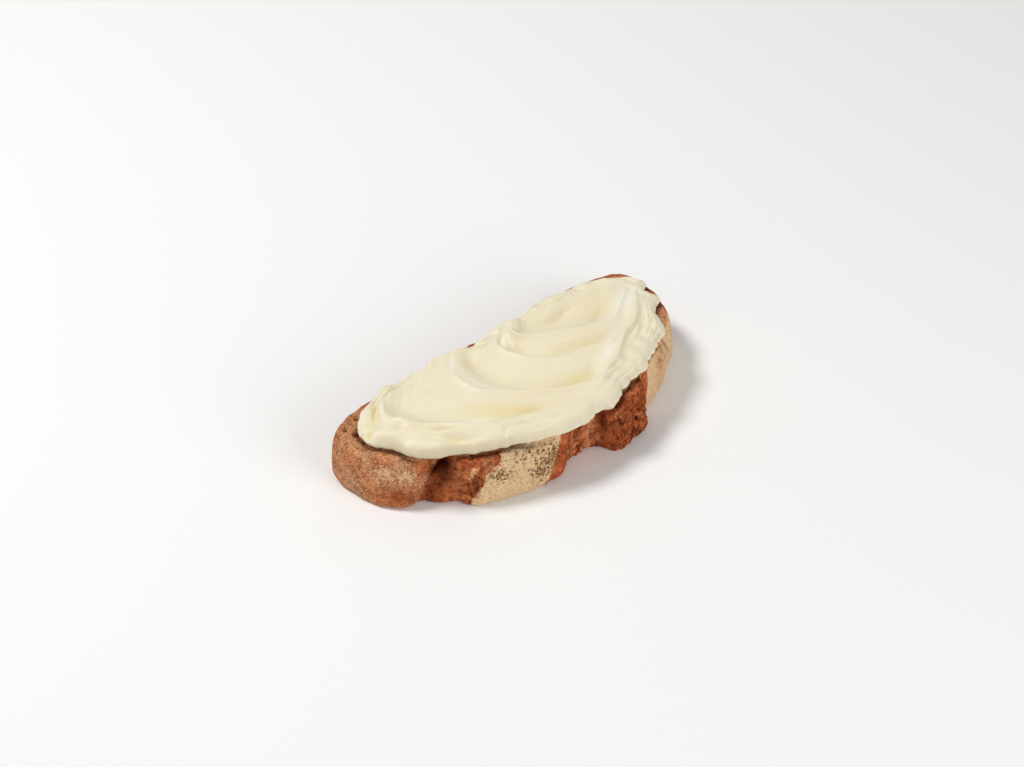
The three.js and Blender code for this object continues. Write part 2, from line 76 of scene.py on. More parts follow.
class Zone(Enum):
    """Names of the values that are painted on the meshes and read by their materials."""

    TORN = "torn"
    FLOURY = "floury"
    TAN = "tan"
    # Painted shade in the crease, the crack, the notch and under the spread's edge.
    CREASE = "crease"
    SCORCH = "scorch"
    BARE = "bare"
    HOLE = "hole"
    CRUMB = "crumb"
    # Depth of pits, pores and dips, which the crust's material paints as shade.
    CAVITY = "cavity"
    # Painted yellow shade in the spread's hollows and grooves.
    HOLLOW_SHADE = "hollow_shade"
    # Painted warm shade in one hollow of the spread.
    WARM_SHADE = "warm"
    # Painted highlight on the spread's crests.
    HIGHLIGHT = "pale"
    # Painted shade along the spread's lower edge and beside ridges.
    DULL_SHADE = "foot"


class Grit(Enum):
    """Kinds of roughness of the slice's skin."""

    SKIN = "Skin"
    TORN = "Torn"
    CRUMPLE = "Crumple"
    PIT = "Pit"
    PORE = "Pore"


class Lamp(Enum):
    """The studio's lamps."""

    KEY = "key"
    FILL = "fill"
    BACK = "back"


def smoothstep(value: Array, low: float, high: float) -> Array:
    """Rises smoothly from 0 at low to 1 at high."""
    share = np.clip((value - low) / (high - low), 0.0, 1.0)
    return share * share * (3.0 - 2.0 * share)


def lerp(start: Any, end: Any, share: Any) -> Any:
    """Goes from start to end as share goes from 0 to 1."""
    return start + (end - start) * share


def ring_blur(values: Array, reach: int) -> Array:
    """Evens out values round a ring over so many neighbours on each side."""
    shifts = range(-reach, reach + 1)
    return sum(np.roll(values, shift) for shift in shifts) / len(shifts)


def screen_colour(red: int, green: int, blue: int) -> Colour:
    """Turns a colour given in screen values, 0 to 255, into linear light."""
    shares = [(v / SCREEN_WHITE + SCREEN_OFFSET) / (1.0 + SCREEN_OFFSET) for v in (red, green, blue)]
    return (shares[0] ** SCREEN_GAMMA, shares[1] ** SCREEN_GAMMA, shares[2] ** SCREEN_GAMMA, 1.0)


class NodeSheet:
    """Short calls for adding, setting and joining the nodes of one tree."""

    def __init__(self, tree: bpy.types.NodeTree) -> None:
        """Keeps the tree that the calls work on."""
        self.tree = tree

    def feed(self, socket: Socket, value: Any) -> None:
        """Joins a socket to another node's output, or sets its own value.

        Args:
            socket: the input to feed.
            value: the output or the value.
        """
        if isinstance(value, Socket):
            self.tree.links.new(value, socket)
        else:
            socket.default_value = value

    def add(self, kind: str, inputs: dict[Any, Any] | None = None, **settings: Any) -> bpy.types.Node:
        """Adds a node.

        Args:
            kind: the node's type name.
            inputs: values or outputs for its sockets, by name or index.
            **settings: the node's own options.

        Returns:
            The new node.
        """
        node = self.tree.nodes.new(kind)
        for name, value in settings.items():
            setattr(node, name, value)
        for key, value in (inputs or {}).items():
            self.feed(node.inputs[key], value)
        return node

    def math(self, operation: str, first: Any, second: Any, clamp: bool = False) -> Socket:
        """Joins two values by one sum, product or other operation."""
        node = self.add("ShaderNodeMath", {0: first, 1: second}, operation=operation, use_clamp=clamp)
        return node.outputs[0]

    def times(self, *values: Any) -> Socket:
        """Multiplies values."""
        return reduce(lambda first, second: self.math("MULTIPLY", first, second), values)

    def total(self, *values: Any) -> Socket:
        """Adds values."""
        return reduce(lambda first, second: self.math("ADD", first, second), values)

    def centred(self, value: Any) -> Socket:
        """Moves a value between 0 and 1 so that it swings about zero."""
        return self.math("SUBTRACT", value, 0.5)

    def scale(self, vector: Any, factor: Any) -> Socket:
        """Makes a vector longer or shorter."""
        node = self.add("ShaderNodeVectorMath", {0: vector, "Scale": factor}, operation="SCALE")
        return node.outputs[0]

    def plus(self, first: Any, second: Any) -> Socket:
        """Adds two vectors."""
        node = self.add("ShaderNodeVectorMath", {0: first, 1: second}, operation="ADD")
        return node.outputs[0]

    def ramp(self, value: Any, low: float, high: float, start: float = 0.0, end: float = 1.0) -> Socket:
        """Rises smoothly from start, where the value is low, to end, where it is high."""
        inputs = {"Value": value, 1: low, 2: high, 3: start, 4: end}
        return self.add("ShaderNodeMapRange", inputs, interpolation_type="SMOOTHSTEP").outputs[0]

    def mix(self, share: Any, first: Any, second: Any, blend: str = "MIX") -> Socket:
        """Mixes two colours."""
        inputs = {0: share, 6: first, 7: second}
        return self.add("ShaderNodeMix", inputs, data_type="RGBA", blend_type=blend).outputs[2]

    def per_metre(self, size: Any) -> Any:
        """Turns a pattern's size, a number of metres or an output, into its texture's scale."""
        return self.math("DIVIDE", 1.0, size) if isinstance(size, Socket) else 1.0 / size

    def noise(self, vector: Any, size: Any, detail: float, roughness: float = 0.5) -> Socket:
        """Adds an uneven pattern whose lumps have the given size, and gives its value."""
        inputs = {"Vector": vector, "Scale": self.per_metre(size), "Detail": detail, "Roughness": roughness}
        return self.add("ShaderNodeTexNoise", inputs).outputs["Fac"]

    def shifts(self, pattern: Socket) -> Socket:
        """Gives the three values of an uneven pattern as a vector that swings about zero."""
        return self.plus(pattern.node.outputs["Color"], (-0.5, -0.5, -0.5))

    def cells(self, vector: Any, size: Any) -> bpy.types.Node:
        """Adds a texture of uneven cells of the given size."""
        return self.add("ShaderNodeTexVoronoi", {"Vector": vector, "Scale": self.per_metre(size)})

    def painted(self, zone: Zone) -> Socket:
        """Reads a value painted on the mesh, in a material."""
        return self.add("ShaderNodeAttribute", attribute_name=zone.value).outputs["Fac"]

    def stored(self, zone: Zone) -> Socket:
        """Reads a value painted on the mesh, in a geometry tree."""
        node = self.add("GeometryNodeInputNamedAttribute", {"Name": zone.value}, data_type="FLOAT")
        return node.outputs["Attribute"]


class FinishSheet(NodeSheet):
    """Nodes of one food material, which start with the shared grain."""

    def __init__(self, name: str, grain: bpy.types.NodeTree, grain_size: float, mottle_size: float) -> None:
        """Starts the material.

        Args:
            name: the material's name.
            grain: the shared group for fine grain and mottling.
            grain_size: size of the fine grain in metres.
            mottle_size: size of the mottling in metres.
        """
        self.finish = bpy.data.materials.new(name)
        self.finish.use_nodes = True
        super().__init__(self.finish.node_tree)
        self.shader = self.tree.nodes["Principled BSDF"]
        self.place = self.add("ShaderNodeTexCoord").outputs["Object"]
        inputs = {"Vector": self.place, "Grain Size": grain_size, "Mottle Size": mottle_size}
        fine = self.add("ShaderNodeGroup", inputs, node_tree=grain)
        self.grain = fine.outputs["Grain"]
        self.mottle = fine.outputs["Mottle"]

    def pattern(self, pattern: Pattern) -> Socket:
        """Adds an uneven pattern over the piece."""
        return self.noise(self.place, *pattern)

    def dress(self, **inputs: Any) -> None:
        """Feeds the shader's inputs, which are named with _ for a space."""
        for name, value in inputs.items():
            self.feed(self.shader.inputs[name.replace("_", " ")], value)

    def bump(self, height: Any, distance: float, strength: float) -> None:
        """Roughens the shading by a height."""
        inputs = {"Height": height, "Distance": distance, "Strength": strength}
        self.dress(Normal=self.add("ShaderNodeBump", inputs).outputs[0])


class GeometryRecipe:
    """A geometry tree with named inputs that turns one mesh into another."""

    SOCKETS = {"size": "NodeSocketFloat", "count": "NodeSocketInt", "finish": "NodeSocketMaterial"}

    def __init__(self, name: str) -> None:
        """Starts an empty tree with a mesh going in and a mesh coming out.

        Args:
            name: the tree's name.
        """
        self.tree = bpy.data.node_groups.new(name, "GeometryNodeTree")
        self.sheet = NodeSheet(self.tree)
        self.values: dict[str, Any] = {}
        self.new_socket("Geometry", "INPUT", "NodeSocketGeometry")
        self.new_socket("Geometry", "OUTPUT", "NodeSocketGeometry")
        self.entry = self.sheet.add("NodeGroupInput")
        self.exit = self.sheet.add("NodeGroupOutput")

    def new_socket(self, name: str, way: str, kind: str) -> str:
        """Adds a socket to the tree's interface and gives its identifier."""
        return self.tree.interface.new_socket(name=name, in_out=way, socket_type=kind).identifier

    def given(self, name: str, value: Any, kind: str = "size") -> Socket:
        """Adds a named input.

        Args:
            name: the input's plain name.
            value: what the modifier sets it to.
            kind: size, count or finish.

        Returns:
            The output of the entry node that carries it.
        """
        self.values[self.new_socket(name, "INPUT", self.SOCKETS[kind])] = value
        return self.entry.outputs[name]

    def end(self, geometry: Socket, finish: bpy.types.Material) -> None:
        """Ends the tree: instances become real, faces turn smooth and take their finish.

        Args:
            geometry: what the tree has made so far.
            finish: the material of all its faces.
        """
        real = self.sheet.add("GeometryNodeRealizeInstances", {"Geometry": geometry})
        smooth = self.sheet.add("GeometryNodeSetShadeSmooth", {"Geometry": real.outputs[0]})
        inputs = {"Geometry": smooth.outputs[0], "Material": self.given("Finish", finish, "finish")}
        dressed = self.sheet.add("GeometryNodeSetMaterial", inputs)
        self.sheet.feed(self.exit.inputs[0], dressed.outputs[0])

    def run(self, source: bpy.types.Mesh, name: str) -> bpy.types.Object:
        """Applies the tree to a mesh.

        Args:
            source: the mesh that goes in.
            name: the name of the piece that comes out.

        Returns:
            A new object with a plain mesh and no modifier.
        """
        carrier = bpy.data.objects.new(name + "_source", source)
        modifier = carrier.modifiers.new(self.tree.name, "NODES")
        modifier.node_group = self.tree
        for identifier, value in self.values.items():
            modifier[identifier] = value
        return plain_copy(carrier, name)


def plain_copy(carrier: bpy.types.Object, name: str) -> bpy.types.Object:
    """Turns an object and its modifiers into a new object with a plain mesh.

    Args:
        carrier: the object with modifiers, which is deleted.
        name: the name of the new object.

    Returns:
        The new object, at the origin.
    """
    bpy.context.scene.collection.objects.link(carrier)
    seen = carrier.evaluated_get(bpy.context.evaluated_depsgraph_get())
    mesh = bpy.data.meshes.new_from_object(seen)
    mesh.name = name
    bpy.data.objects.remove(carrier)
    return new_piece(mesh, name)


def new_piece(mesh: bpy.types.Mesh, name: str) -> bpy.types.Object:
    """Puts a mesh into the scene.

    Args:
        mesh: the finished mesh.
        name: the piece's name.

    Returns:
        The piece, at the origin.
    """
    piece = bpy.data.objects.new(name, mesh)
    bpy.context.scene.collection.objects.link(piece)
    return piece


def mesh_vectors(mesh: bpy.types.Mesh, vectors: bpy.types.bpy_prop_collection, name: str) -> Array:
    """Reads one vector for each vertex of a mesh.

    Args:
        mesh: the mesh.
        vectors: its vertices or their normals.
        name: the name of the vector there.

    Returns:
        The vectors, one in each row.
    """
    flat = np.empty(3 * len(mesh.vertices))
    vectors.foreach_get(name, flat)
    return flat.reshape(-1, 3)


def lay_flat(mesh: bpy.types.Mesh) -> None:
    """Presses what stands below the floor up to it.

    Args:
        mesh: the mesh, in metres.
    """
    places = mesh_vectors(mesh, mesh.vertices, "co")
    places[:, 2] = np.maximum(places[:, 2], 0.0)
    mesh.vertices.foreach_set("co", places.ravel())


def nearest_in_plan(ring: Array, points: Array) -> tuple[Array, Array]:
    """Finds the nearest point of a ring for each point, both seen from above.

    Args:
        ring: the ring's points in plan.
        points: the points to find it for.

    Returns:
        Which point of the ring it is, and how far away.
    """
    tree = KDTree(len(ring))
    for i, (x, y) in enumerate(ring):
        tree.insert((x, y, 0.0), i)
    tree.balance()
    found = [tree.find((x, y, 0.0)) for x, y in points[:, :2]]
    return np.array([hit[1] for hit in found]), np.array([hit[2] for hit in found])


def paint(mesh: bpy.types.Mesh, zone: Zone, values: Array) -> None:
    """Stores one value for each vertex of a mesh."""
    layer = mesh.attributes.new(zone.value, "FLOAT", "POINT")
    layer.data.foreach_set("value", np.ascontiguousarray(values, dtype=np.float32))


@dataclass(frozen=True)
class PlanCurve:
    """Closed plan curve of four superellipse quarters that meet on the axes through (x, y)."""

    x: float
    y: float
    left: float
    right: float
    front: float
    back: float
    front_power: float
    left_back_power: float
    right_back_power: float

    STEPS = 24000

    def ring(self, count: int) -> tuple[Array, Array]:
        """Spaces points evenly round the curve, from the right end by way of the back.

        Args:
            count: how many points.

        Returns:
            The points and their outward normals in plan.
        """
        turn = np.linspace(0.0, 2.0 * math.pi, self.STEPS + 1)
        along = np.cos(turn)
        across = np.sin(turn)
        back_power = np.where(along < 0.0, self.left_back_power, self.right_back_power)
        exponent = 2.0 / np.where(across < 0.0, self.front_power, back_power)
        reach_x = np.where(along < 0.0, self.left, self.right)
        reach_y = np.where(across < 0.0, self.front, self.back)
        x = self.x + reach_x * np.sign(along) * np.abs(along) ** exponent
        y = self.y + reach_y * np.sign(across) * np.abs(across) ** exponent
        length = np.concatenate([[0.0], np.cumsum(np.hypot(np.diff(x), np.diff(y)))])
        spaced = np.arange(count) * length[-1] / count
        points = np.stack([np.interp(spaced, length, x), np.interp(spaced, length, y)], axis=1)
        tangent = np.roll(points, -1, axis=0) - np.roll(points, 1, axis=0)
        normals = np.stack([tangent[:, 1], -tangent[:, 0]], axis=1)
        return points, normals / np.linalg.norm(normals, axis=1, keepdims=True)


@dataclass(frozen=True)
class CrustPlate:
    """Plate of the cracked crust between two sloping edges.

    It starts at the first x, is whole from the second to the third and ends at the fourth, all at the rim.
    At the foot its two edges are shifted sideways by lean. Rim and foot say how far out of the dome it stands
    there.
    """

    edges: tuple[float, float, float, float]
    lean: Span
    rim: float = 0.0
    foot: float = 0.0
    torn: float = 0.0

    def share(self, x: Array, height: Array) -> Array:
        """How much of the plate covers places on the wall.

        Args:
            x: where they lie along the slice.
            height: share of the slice's thickness at which they lie.

        Returns:
            Shares from 0 to 1.
        """
        start, whole, fade, end = self.edges
        entered = smoothstep(x - self.lean[0] * (1.0 - height), start, whole)
        return entered * (1.0 - smoothstep(x - self.lean[1] * (1.0 - height), fade, end))


@dataclass(frozen=True)
class WallPatch:
    """Soft patch on the wall, at a place along it and a height."""

    x: float
    z: float
    width: float
    height: float
    amount: float

    def share(self, x: Array, z: Array) -> Array:
        """How strongly the patch covers a place."""
        return self.amount * np.exp(-(((x - self.x) / self.width) ** 2) - ((z - self.z) / self.height) ** 2)


@dataclass(frozen=True)
class WallPlaces:
    """Where the points of the slice's skin lie: in plan, on the outline nearest to them, and up the wall.

    Height is a share of the slice's thickness, front tells the domed front from the flat back, inset is how
    far a point lies in from the wall, and torn is how torn the wall is there.
    """

    plan: Array
    x: Array
    y: Array
    z: Array
    height: Array
    front: Array
    inset: Array
    torn: Array

    def covered(self, patches: Sequence[WallPatch]) -> Array:
        """Sums soft patches on the front wall."""
        return sum(patch.share(self.x, self.z) for patch in patches) * self.front


@dataclass(frozen=True)
class CrustFinish:
    """Baked crust, torn crumb and flour of the slice, with painted shade in its crease, crack, notch, pits
    and under the spread, and ramps that say where each colour lies.
    """

    deep: Colour = screen_colour(92, 34, 14)
    red: Colour = screen_colour(180, 88, 46)
    orange: Colour = screen_colour(214, 126, 74)
    tan: Colour = screen_colour(208, 152, 112)
    tan_dark: Colour = screen_colour(166, 104, 70)
    flour: Colour = screen_colour(234, 202, 158)
    bare: Colour = screen_colour(112, 64, 30)
    crumb: Colour = screen_colour(196, 136, 94)
    # Near-black colour of the painted shade.
    painted_shade_colour: Colour = screen_colour(44, 9, 2)
    grain_size: float = 0.65 * MM
    mottle_size: float = 2.4 * MM
    drift: Pattern = (8.0 * MM, 2.0, 0.5)
    dots: Pattern = (1.0 * MM, 2.0, 0.6)
    flecks: Pattern = (1.1 * MM, 3.0, 0.62)
    clusters: Pattern = (7.0 * MM, 2.0, 0.5)
    streaks: Pattern = (2.8 * MM, 2.0, 0.55)
    streak_stretch: tuple[float, float, float] = (1.0, 1.0, 0.35)
    orange_by_drift: Ramp = (0.38, 0.64, 0.0, 1.0)
    deep_by_mottle: Ramp = (0.58, 0.34, 0.0, 0.6)
    orange_in_tan: Ramp = (0.42, 0.62, 0.0, 0.65)
    dark_in_tan: Ramp = (0.58, 0.34, 0.0, 0.85)
    scorch_share: float = 0.8
    dot_cover: Ramp = (0.44, 0.34, 0.0, 1.0)
    dots_by_tan: Ramp = (0.0, 1.0, 0.6, 0.3)
    dots_by_torn: Ramp = (0.0, 1.0, 1.0, 0.7)
    streak_cover: Ramp = (0.55, 0.63, 0.0, 0.9)
    # Painted shade in pits, pores and dips.
    shade_by_cavity: Ramp = (0.1, 0.9, 0.0, 0.88)
    ragged_by_mottle: float = 1.1
    ragged_by_grain: float = 0.7
    flour_cover: Ramp = (0.42, 0.78, 0.0, 0.94)
    tan_in_flour: Ramp = (0.3, 1.0, 0.0, 0.55)
    worn_by_cluster: Ramp = (0.36, 0.6, -0.05, 0.04)
    worn_by_bare: Ramp = (0.0, 1.0, -0.14, 0.2)
    worn_cover: Ramp = (0.5, 0.64, 0.0, 0.95)
    dust_cover: Ramp = (0.52, 0.7, 0.0, 1.0)
    dust_by_tan: Ramp = (0.0, 1.0, 0.06, 0.55)
    shade_by_grain: Ramp = (0.3, 0.7, 0.83, 1.11)
    roughness_by_grain: Ramp = (0.2, 0.8, 0.78, 0.96)
    gloss: float = 0.12
    # Less gloss where shade is painted.
    gloss_by_shade: Ramp = (0.0, 0.6, 0.12, 0.0)
    bump_depth: float = 0.3 * MM
    bump_strength: float = 0.7
    bump_mottle: float = 0.8

    def baked_colour(self, sheet: FinishSheet, tan: Socket) -> Socket:
        """Lays on the baked colours.

        Args:
            sheet: the crust's nodes.
            tan: where the crust is pale and tan.

        Returns:
            The colour of the crust without flour.
        """
        drift = sheet.pattern(self.drift)
        warm = sheet.mix(sheet.ramp(drift, *self.orange_by_drift), self.red, self.orange)
        warm = sheet.mix(sheet.ramp(sheet.mottle, *self.deep_by_mottle), warm, self.deep)
        tanned = sheet.mix(sheet.ramp(drift, *self.orange_in_tan), self.tan, self.orange)
        tanned = sheet.mix(sheet.ramp(sheet.mottle, *self.dark_in_tan), tanned, self.tan_dark)
        colour = sheet.mix(tan, warm, tanned)
        return sheet.mix(sheet.painted(Zone.CRUMB), colour, self.crumb)

    def darkened(self, sheet: FinishSheet, colour: Socket, tan: Socket) -> Socket:
        """Darkens scorched places, dots and streaks of torn crumb, and paints shade into pits, pores and
        dips.

        Args:
            sheet: the crust's nodes.
            colour: the colour so far.
            tan: where the crust is pale and tan.

        Returns:
            The darkened colour.
        """
        torn = sheet.painted(Zone.TORN)
        scorch = sheet.times(sheet.painted(Zone.SCORCH), self.scorch_share)
        dots = sheet.ramp(sheet.pattern(self.dots), *self.dot_cover)
        dots = sheet.times(dots, sheet.ramp(tan, *self.dots_by_tan), sheet.ramp(torn, *self.dots_by_torn))
        upright = sheet.add("ShaderNodeMapping", {"Vector": sheet.place, "Scale": self.streak_stretch})
        streaks = sheet.ramp(sheet.noise(upright.outputs[0], *self.streaks), *self.streak_cover)
        streaks = sheet.math("MULTIPLY", streaks, torn, clamp=True)
        # Painted shade in pits, pores and dips.
        cavity = sheet.ramp(sheet.painted(Zone.CAVITY), *self.shade_by_cavity)
        for share in (scorch, dots, streaks, cavity):
            colour = sheet.mix(share, colour, self.deep)
        return colour

    def floured(self, sheet: FinishSheet, colour: Socket, tan: Socket) -> Socket:
        """Lays on flour with ragged edges, worn through in clusters of flecks, and a fine dust.

        Args:
            sheet: the crust's nodes.
            colour: the colour so far.
            tan: where the crust is pale and tan, and the flour thin.

        Returns:
            The colour of the floury crust.
        """
        floury = sheet.painted(Zone.FLOURY)
        uneven = sheet.times(sheet.centred(sheet.mottle), self.ragged_by_mottle)
        lumpy = sheet.times(sheet.centred(sheet.grain), self.ragged_by_grain)
        cover = sheet.ramp(sheet.total(floury, uneven, lumpy), *self.flour_cover)
        thin_flour = sheet.mix(sheet.ramp(tan, *self.tan_in_flour), self.flour, self.tan)
        colour = sheet.mix(cover, colour, thin_flour)
        clusters = sheet.ramp(sheet.pattern(self.clusters), *self.worn_by_cluster)
        bare = sheet.ramp(sheet.painted(Zone.BARE), *self.worn_by_bare)
        worn = sheet.ramp(sheet.total(clusters, sheet.pattern(self.flecks), bare), *self.worn_cover)
        colour = sheet.mix(sheet.math("MULTIPLY", worn, floury, clamp=True), colour, self.bare)
        dust = sheet.times(sheet.ramp(sheet.grain, *self.dust_cover), sheet.ramp(tan, *self.dust_by_tan))
        return sheet.mix(dust, colour, self.flour)

    def material(self, grain: bpy.types.NodeTree) -> bpy.types.Material:
        """Builds the material.

        Args:
            grain: the shared group for fine grain and mottling.

        Returns:
            The crust's material.
        """
        sheet = FinishSheet("baked_crust", grain, self.grain_size, self.mottle_size)
        tan = sheet.painted(Zone.TAN)
        crease = sheet.painted(Zone.CREASE)
        colour = self.darkened(sheet, self.baked_colour(sheet, tan), tan)
        # Painted shade: mixed towards near-black where it is painted in the crease, crack, notch and under
        # the spread.
        colour = sheet.mix(crease, self.floured(sheet, colour, tan), self.painted_shade_colour)
        shade = sheet.ramp(sheet.grain, *self.shade_by_grain)
        dotted = sheet.add("ShaderNodeCombineColor", {0: shade, 1: shade, 2: shade})
        colour = sheet.mix(1.0, colour, dotted.outputs[0], "MULTIPLY")
        sheet.dress(Base_Color=colour, Roughness=sheet.ramp(sheet.grain, *self.roughness_by_grain))
        sheet.dress(Specular_IOR_Level=self.gloss)
        sheet.dress(Specular_IOR_Level=sheet.ramp(crease, *self.gloss_by_shade))
        relief = sheet.total(sheet.grain, sheet.times(sheet.mottle, self.bump_mottle))
        sheet.bump(relief, self.bump_depth, self.bump_strength)
        return sheet.finish


@dataclass(frozen=True)
class SpreadFinish:
    """Fresh, moist cheese spread, with painted highlights on its crests, painted yellow shade in its hollows,
    and painted shade along its edge and beside ridges.
    """

    cream: Colour = screen_colour(243, 233, 205)
    # Painted yellow shade for hollows and grooves.
    hollow_shade: Colour = screen_colour(240, 225, 172)
    # Painted warm shade in one hollow.
    warm: Colour = screen_colour(240, 205, 150)
    # Painted highlight on crests.
    pale: Colour = screen_colour(255, 250, 232)
    # Painted shade along the lower edge and beside ridges.
    foot: Colour = screen_colour(216, 202, 170)
    hollow_by_mottle: Ramp = (0.3, 0.7, 0.7, 1.0)
    roughness_by_mottle: Ramp = (0.3, 0.7, 0.36, 0.52)
    gloss: float = 0.4
    glow: float = 0.25
    glow_colours: tuple[float, float, float] = (1.0, 0.75, 0.4)
    glow_depth: float = 0.9 * MM
    grain_size: float = 0.7 * MM
    mottle_size: float = 5.0 * MM
    bump_depth: float = 0.05 * MM
    bump_strength: float = 0.5

    def material(self, grain: bpy.types.NodeTree) -> bpy.types.Material:
        """Builds the material.

        Args:
            grain: the shared group for fine grain and mottling.

        Returns:
            The spread's material.
        """
        sheet = FinishSheet("fresh_spread", grain, self.grain_size, self.mottle_size)
        # Painted yellow shade in hollows and grooves, uneven with the mottling.
        hollow_shade = sheet.times(sheet.painted(Zone.HOLLOW_SHADE), sheet.ramp(sheet.mottle, *self.hollow_by_mottle))
        colour = sheet.mix(hollow_shade, self.cream, self.hollow_shade)
        # Painted warm shade in one hollow, painted highlights on crests, and painted shade along the edge and
        # beside ridges.
        for zone, tint in ((Zone.WARM_SHADE, self.warm), (Zone.HIGHLIGHT, self.pale), (Zone.DULL_SHADE, self.foot)):
            colour = sheet.mix(sheet.painted(zone), colour, tint)
        sheet.dress(Base_Color=colour, Roughness=sheet.ramp(sheet.mottle, *self.roughness_by_mottle))
        sheet.dress(Specular_IOR_Level=self.gloss, Subsurface_Weight=self.glow)
        sheet.dress(Subsurface_Radius=self.glow_colours, Subsurface_Scale=self.glow_depth)
        sheet.bump(sheet.grain, self.bump_depth, self.bump_strength)
        return sheet.finish


@dataclass(frozen=True)
class CrumbFinish:
    """Loose grains: flour on the crust, or crumbs torn out of it."""

    name: str
    light: Colour
    dark: Colour
    light_by_mottle: Ramp = (0.3, 0.7, 0.0, 1.0)
    roughness_by_grain: Ramp = (0.2, 0.8, 0.85, 0.97)
    gloss: float = 0.2
    grain_size: float = 0.4 * MM
    mottle_size: float = 3.0 * MM

    def material(self, grain: bpy.types.NodeTree) -> bpy.types.Material:
        """Builds the material.

        Args:
            grain: the shared group for fine grain and mottling.

        Returns:
            The grains' material.
        """
        sheet = FinishSheet(self.name, grain, self.grain_size, self.mottle_size)
        colour = sheet.mix(sheet.ramp(sheet.mottle, *self.light_by_mottle), self.dark, self.light)
        sheet.dress(Base_Color=colour, Roughness=sheet.ramp(sheet.grain, *self.roughness_by_grain))
        sheet.dress(Specular_IOR_Level=self.gloss)
        return sheet.finish


@dataclass(frozen=True)
class SharedGrain:
    """Fine grain and coarser mottling that every food material uses, each with its finer layers."""

    grain: Layers = (1.5, 0.55)
    mottle: Layers = (3.0, 0.6)

    def group(self) -> bpy.types.NodeTree:
        """Builds the shader group.

        Returns:
            The group, with sizes going in and values coming out.
        """
        layers = {"Grain": self.grain, "Mottle": self.mottle}
        tree = bpy.data.node_groups.new("fine_grain", "ShaderNodeTree")
        tree.interface.new_socket(name="Vector", in_out="INPUT", socket_type="NodeSocketVector")
        for name in layers:
            tree.interface.new_socket(name=f"{name} Size", in_out="INPUT", socket_type="NodeSocketFloat")
            tree.interface.new_socket(name=name, in_out="OUTPUT", socket_type="NodeSocketFloat")
        sheet = NodeSheet(tree)
        entry = sheet.add("NodeGroupInput")
        ending = sheet.add("NodeGroupOutput")
        for name, layer in layers.items():
            pattern = sheet.noise(entry.outputs["Vector"], entry.outputs[f"{name} Size"], *layer)
            sheet.feed(ending.inputs[name], pattern)
        return tree


